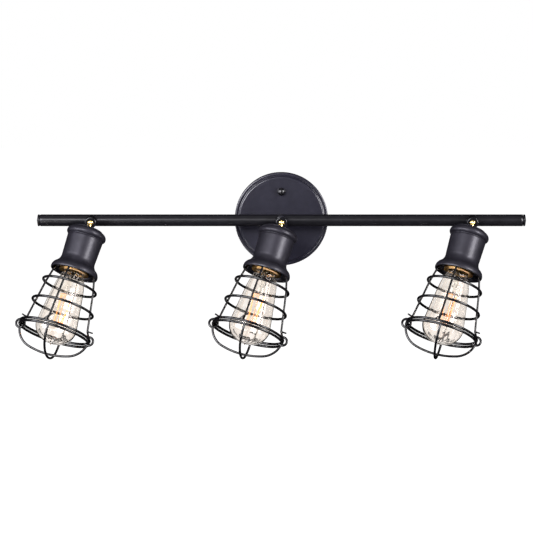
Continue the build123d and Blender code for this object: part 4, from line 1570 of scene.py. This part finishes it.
@dataclass(frozen=True)
class Studio:
    """Pale floor, white surroundings, soft lights and the camera."""

    distance: float = 3.5
    elevation: float = 4.0
    azimuth: float = 0.0
    aim: tuple[float, float, float] = (-0.0202, -0.052, -0.0625)
    lens: float = 175.0
    sensor: float = 36.0
    sight: float = 100.0
    floor_drop: float = 0.45
    floor_size: float = 60.0
    floor_grey: float = 0.9
    floor_glow: float = 0.62
    sky_gloss: float = 0.006
    sky_diffuse: float = 0.5

    def build(self) -> None:
        """Builds the floor, the sky, the lights and the camera."""
        self._floor()
        self._sky()
        for softbox in SOFTBOXES:
            self._hang(softbox)
        self._camera()

    def _floor(self) -> None:
        """Lays a broad pale floor below the lowest wire."""
        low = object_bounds()[0][2] - self.floor_drop
        bpy.ops.mesh.primitive_plane_add(size=self.floor_size, location=(0, 0, low))
        floor = bpy.context.object
        floor.name = "pale_floor"
        recipe = Recipe.start("pale_floor")
        recipe.set(Base_Color=(*(self.floor_grey,) * 3, 1), Roughness=0.9)
        recipe.set(Emission_Color=(1, 1, 1, 1), Emission_Strength=self.floor_glow)
        floor.data.materials.append(recipe.material)
        floor.visible_glossy = False
        floor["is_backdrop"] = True

    def _sky(self) -> None:
        """Makes the surroundings white to the eye and through glass, and dimmer as a light."""
        world = bpy.data.worlds.new("studio")
        world.use_nodes = True
        bpy.context.scene.world = world
        nodes, links = world.node_tree.nodes, world.node_tree.links
        background = nodes["Background"]
        background.inputs["Color"].default_value = (1, 1, 1, 1)
        path = nodes.new("ShaderNodeLightPath")
        strengths = {
            "Is Glossy Ray": self.sky_gloss, "Is Transmission Ray": 1.0, "Is Camera Ray": 1.0,
        }
        steps = [nodes.new("ShaderNodeMix") for _ in strengths]
        for step, (ray, strength) in zip(steps, strengths.items()):
            step.inputs[MIX_HIGH].default_value = strength
            links.new(path.outputs[ray], step.inputs[MIX_AMOUNT])
        steps[0].inputs[MIX_LOW].default_value = self.sky_diffuse
        for before, after in zip(steps, steps[1:]):
            links.new(before.outputs[0], after.inputs[MIX_LOW])
        links.new(steps[-1].outputs[0], background.inputs["Strength"])

    def _hang(self, softbox: Softbox) -> None:
        """Hangs a soft light that faces the fixture.

        Args:
            softbox: The light.
        """
        data = bpy.data.lights.new(softbox.name, "AREA")
        data.shape = "RECTANGLE"
        data.size, data.size_y = softbox.size
        data.energy, data.color = softbox.power, softbox.colour
        light = bpy.data.objects.new(softbox.name, data)
        bpy.context.scene.collection.objects.link(light)
        light.location = softbox.place
        towards = Vector(self.aim) - Vector(softbox.place)
        light.rotation_euler = towards.to_track_quat("-Z", "Y").to_euler()

    def _camera(self) -> None:
        """Stands the camera in front of the fixture and a little above it."""
        data = bpy.data.cameras.new("camera")
        data.lens, data.sensor_width = self.lens, self.sensor
        data.clip_end = self.sight
        camera = bpy.data.objects.new("camera", data)
        bpy.context.scene.collection.objects.link(camera)
        rise, swing = np.radians(self.elevation), np.radians(self.azimuth)
        away = Vector((
            np.sin(swing) * np.cos(rise), -np.cos(swing) * np.cos(rise), np.sin(rise)
        ))
        camera.location = Vector(self.aim) + away * self.distance
        camera.rotation_euler = (-away).to_track_quat("-Z", "Y").to_euler()
        bpy.context.scene.camera = camera
        bpy.context.scene.view_settings.view_transform = "Standard"


def main() -> None:
    """Builds the fixture around its frame, then the studio."""
    logging.basicConfig(level=logging.INFO, format="%(name)s %(message)s")
    dress_frame()
    Canopy().build()
    Bar().build()
    for side in Side:
        for part in (BallStem(), Cup(), ShadeRing(), Cage(), Guard(), Lamp()):
            part.build(side)
    Studio().build()
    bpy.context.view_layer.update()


if __name__ == "__main__":
    main()
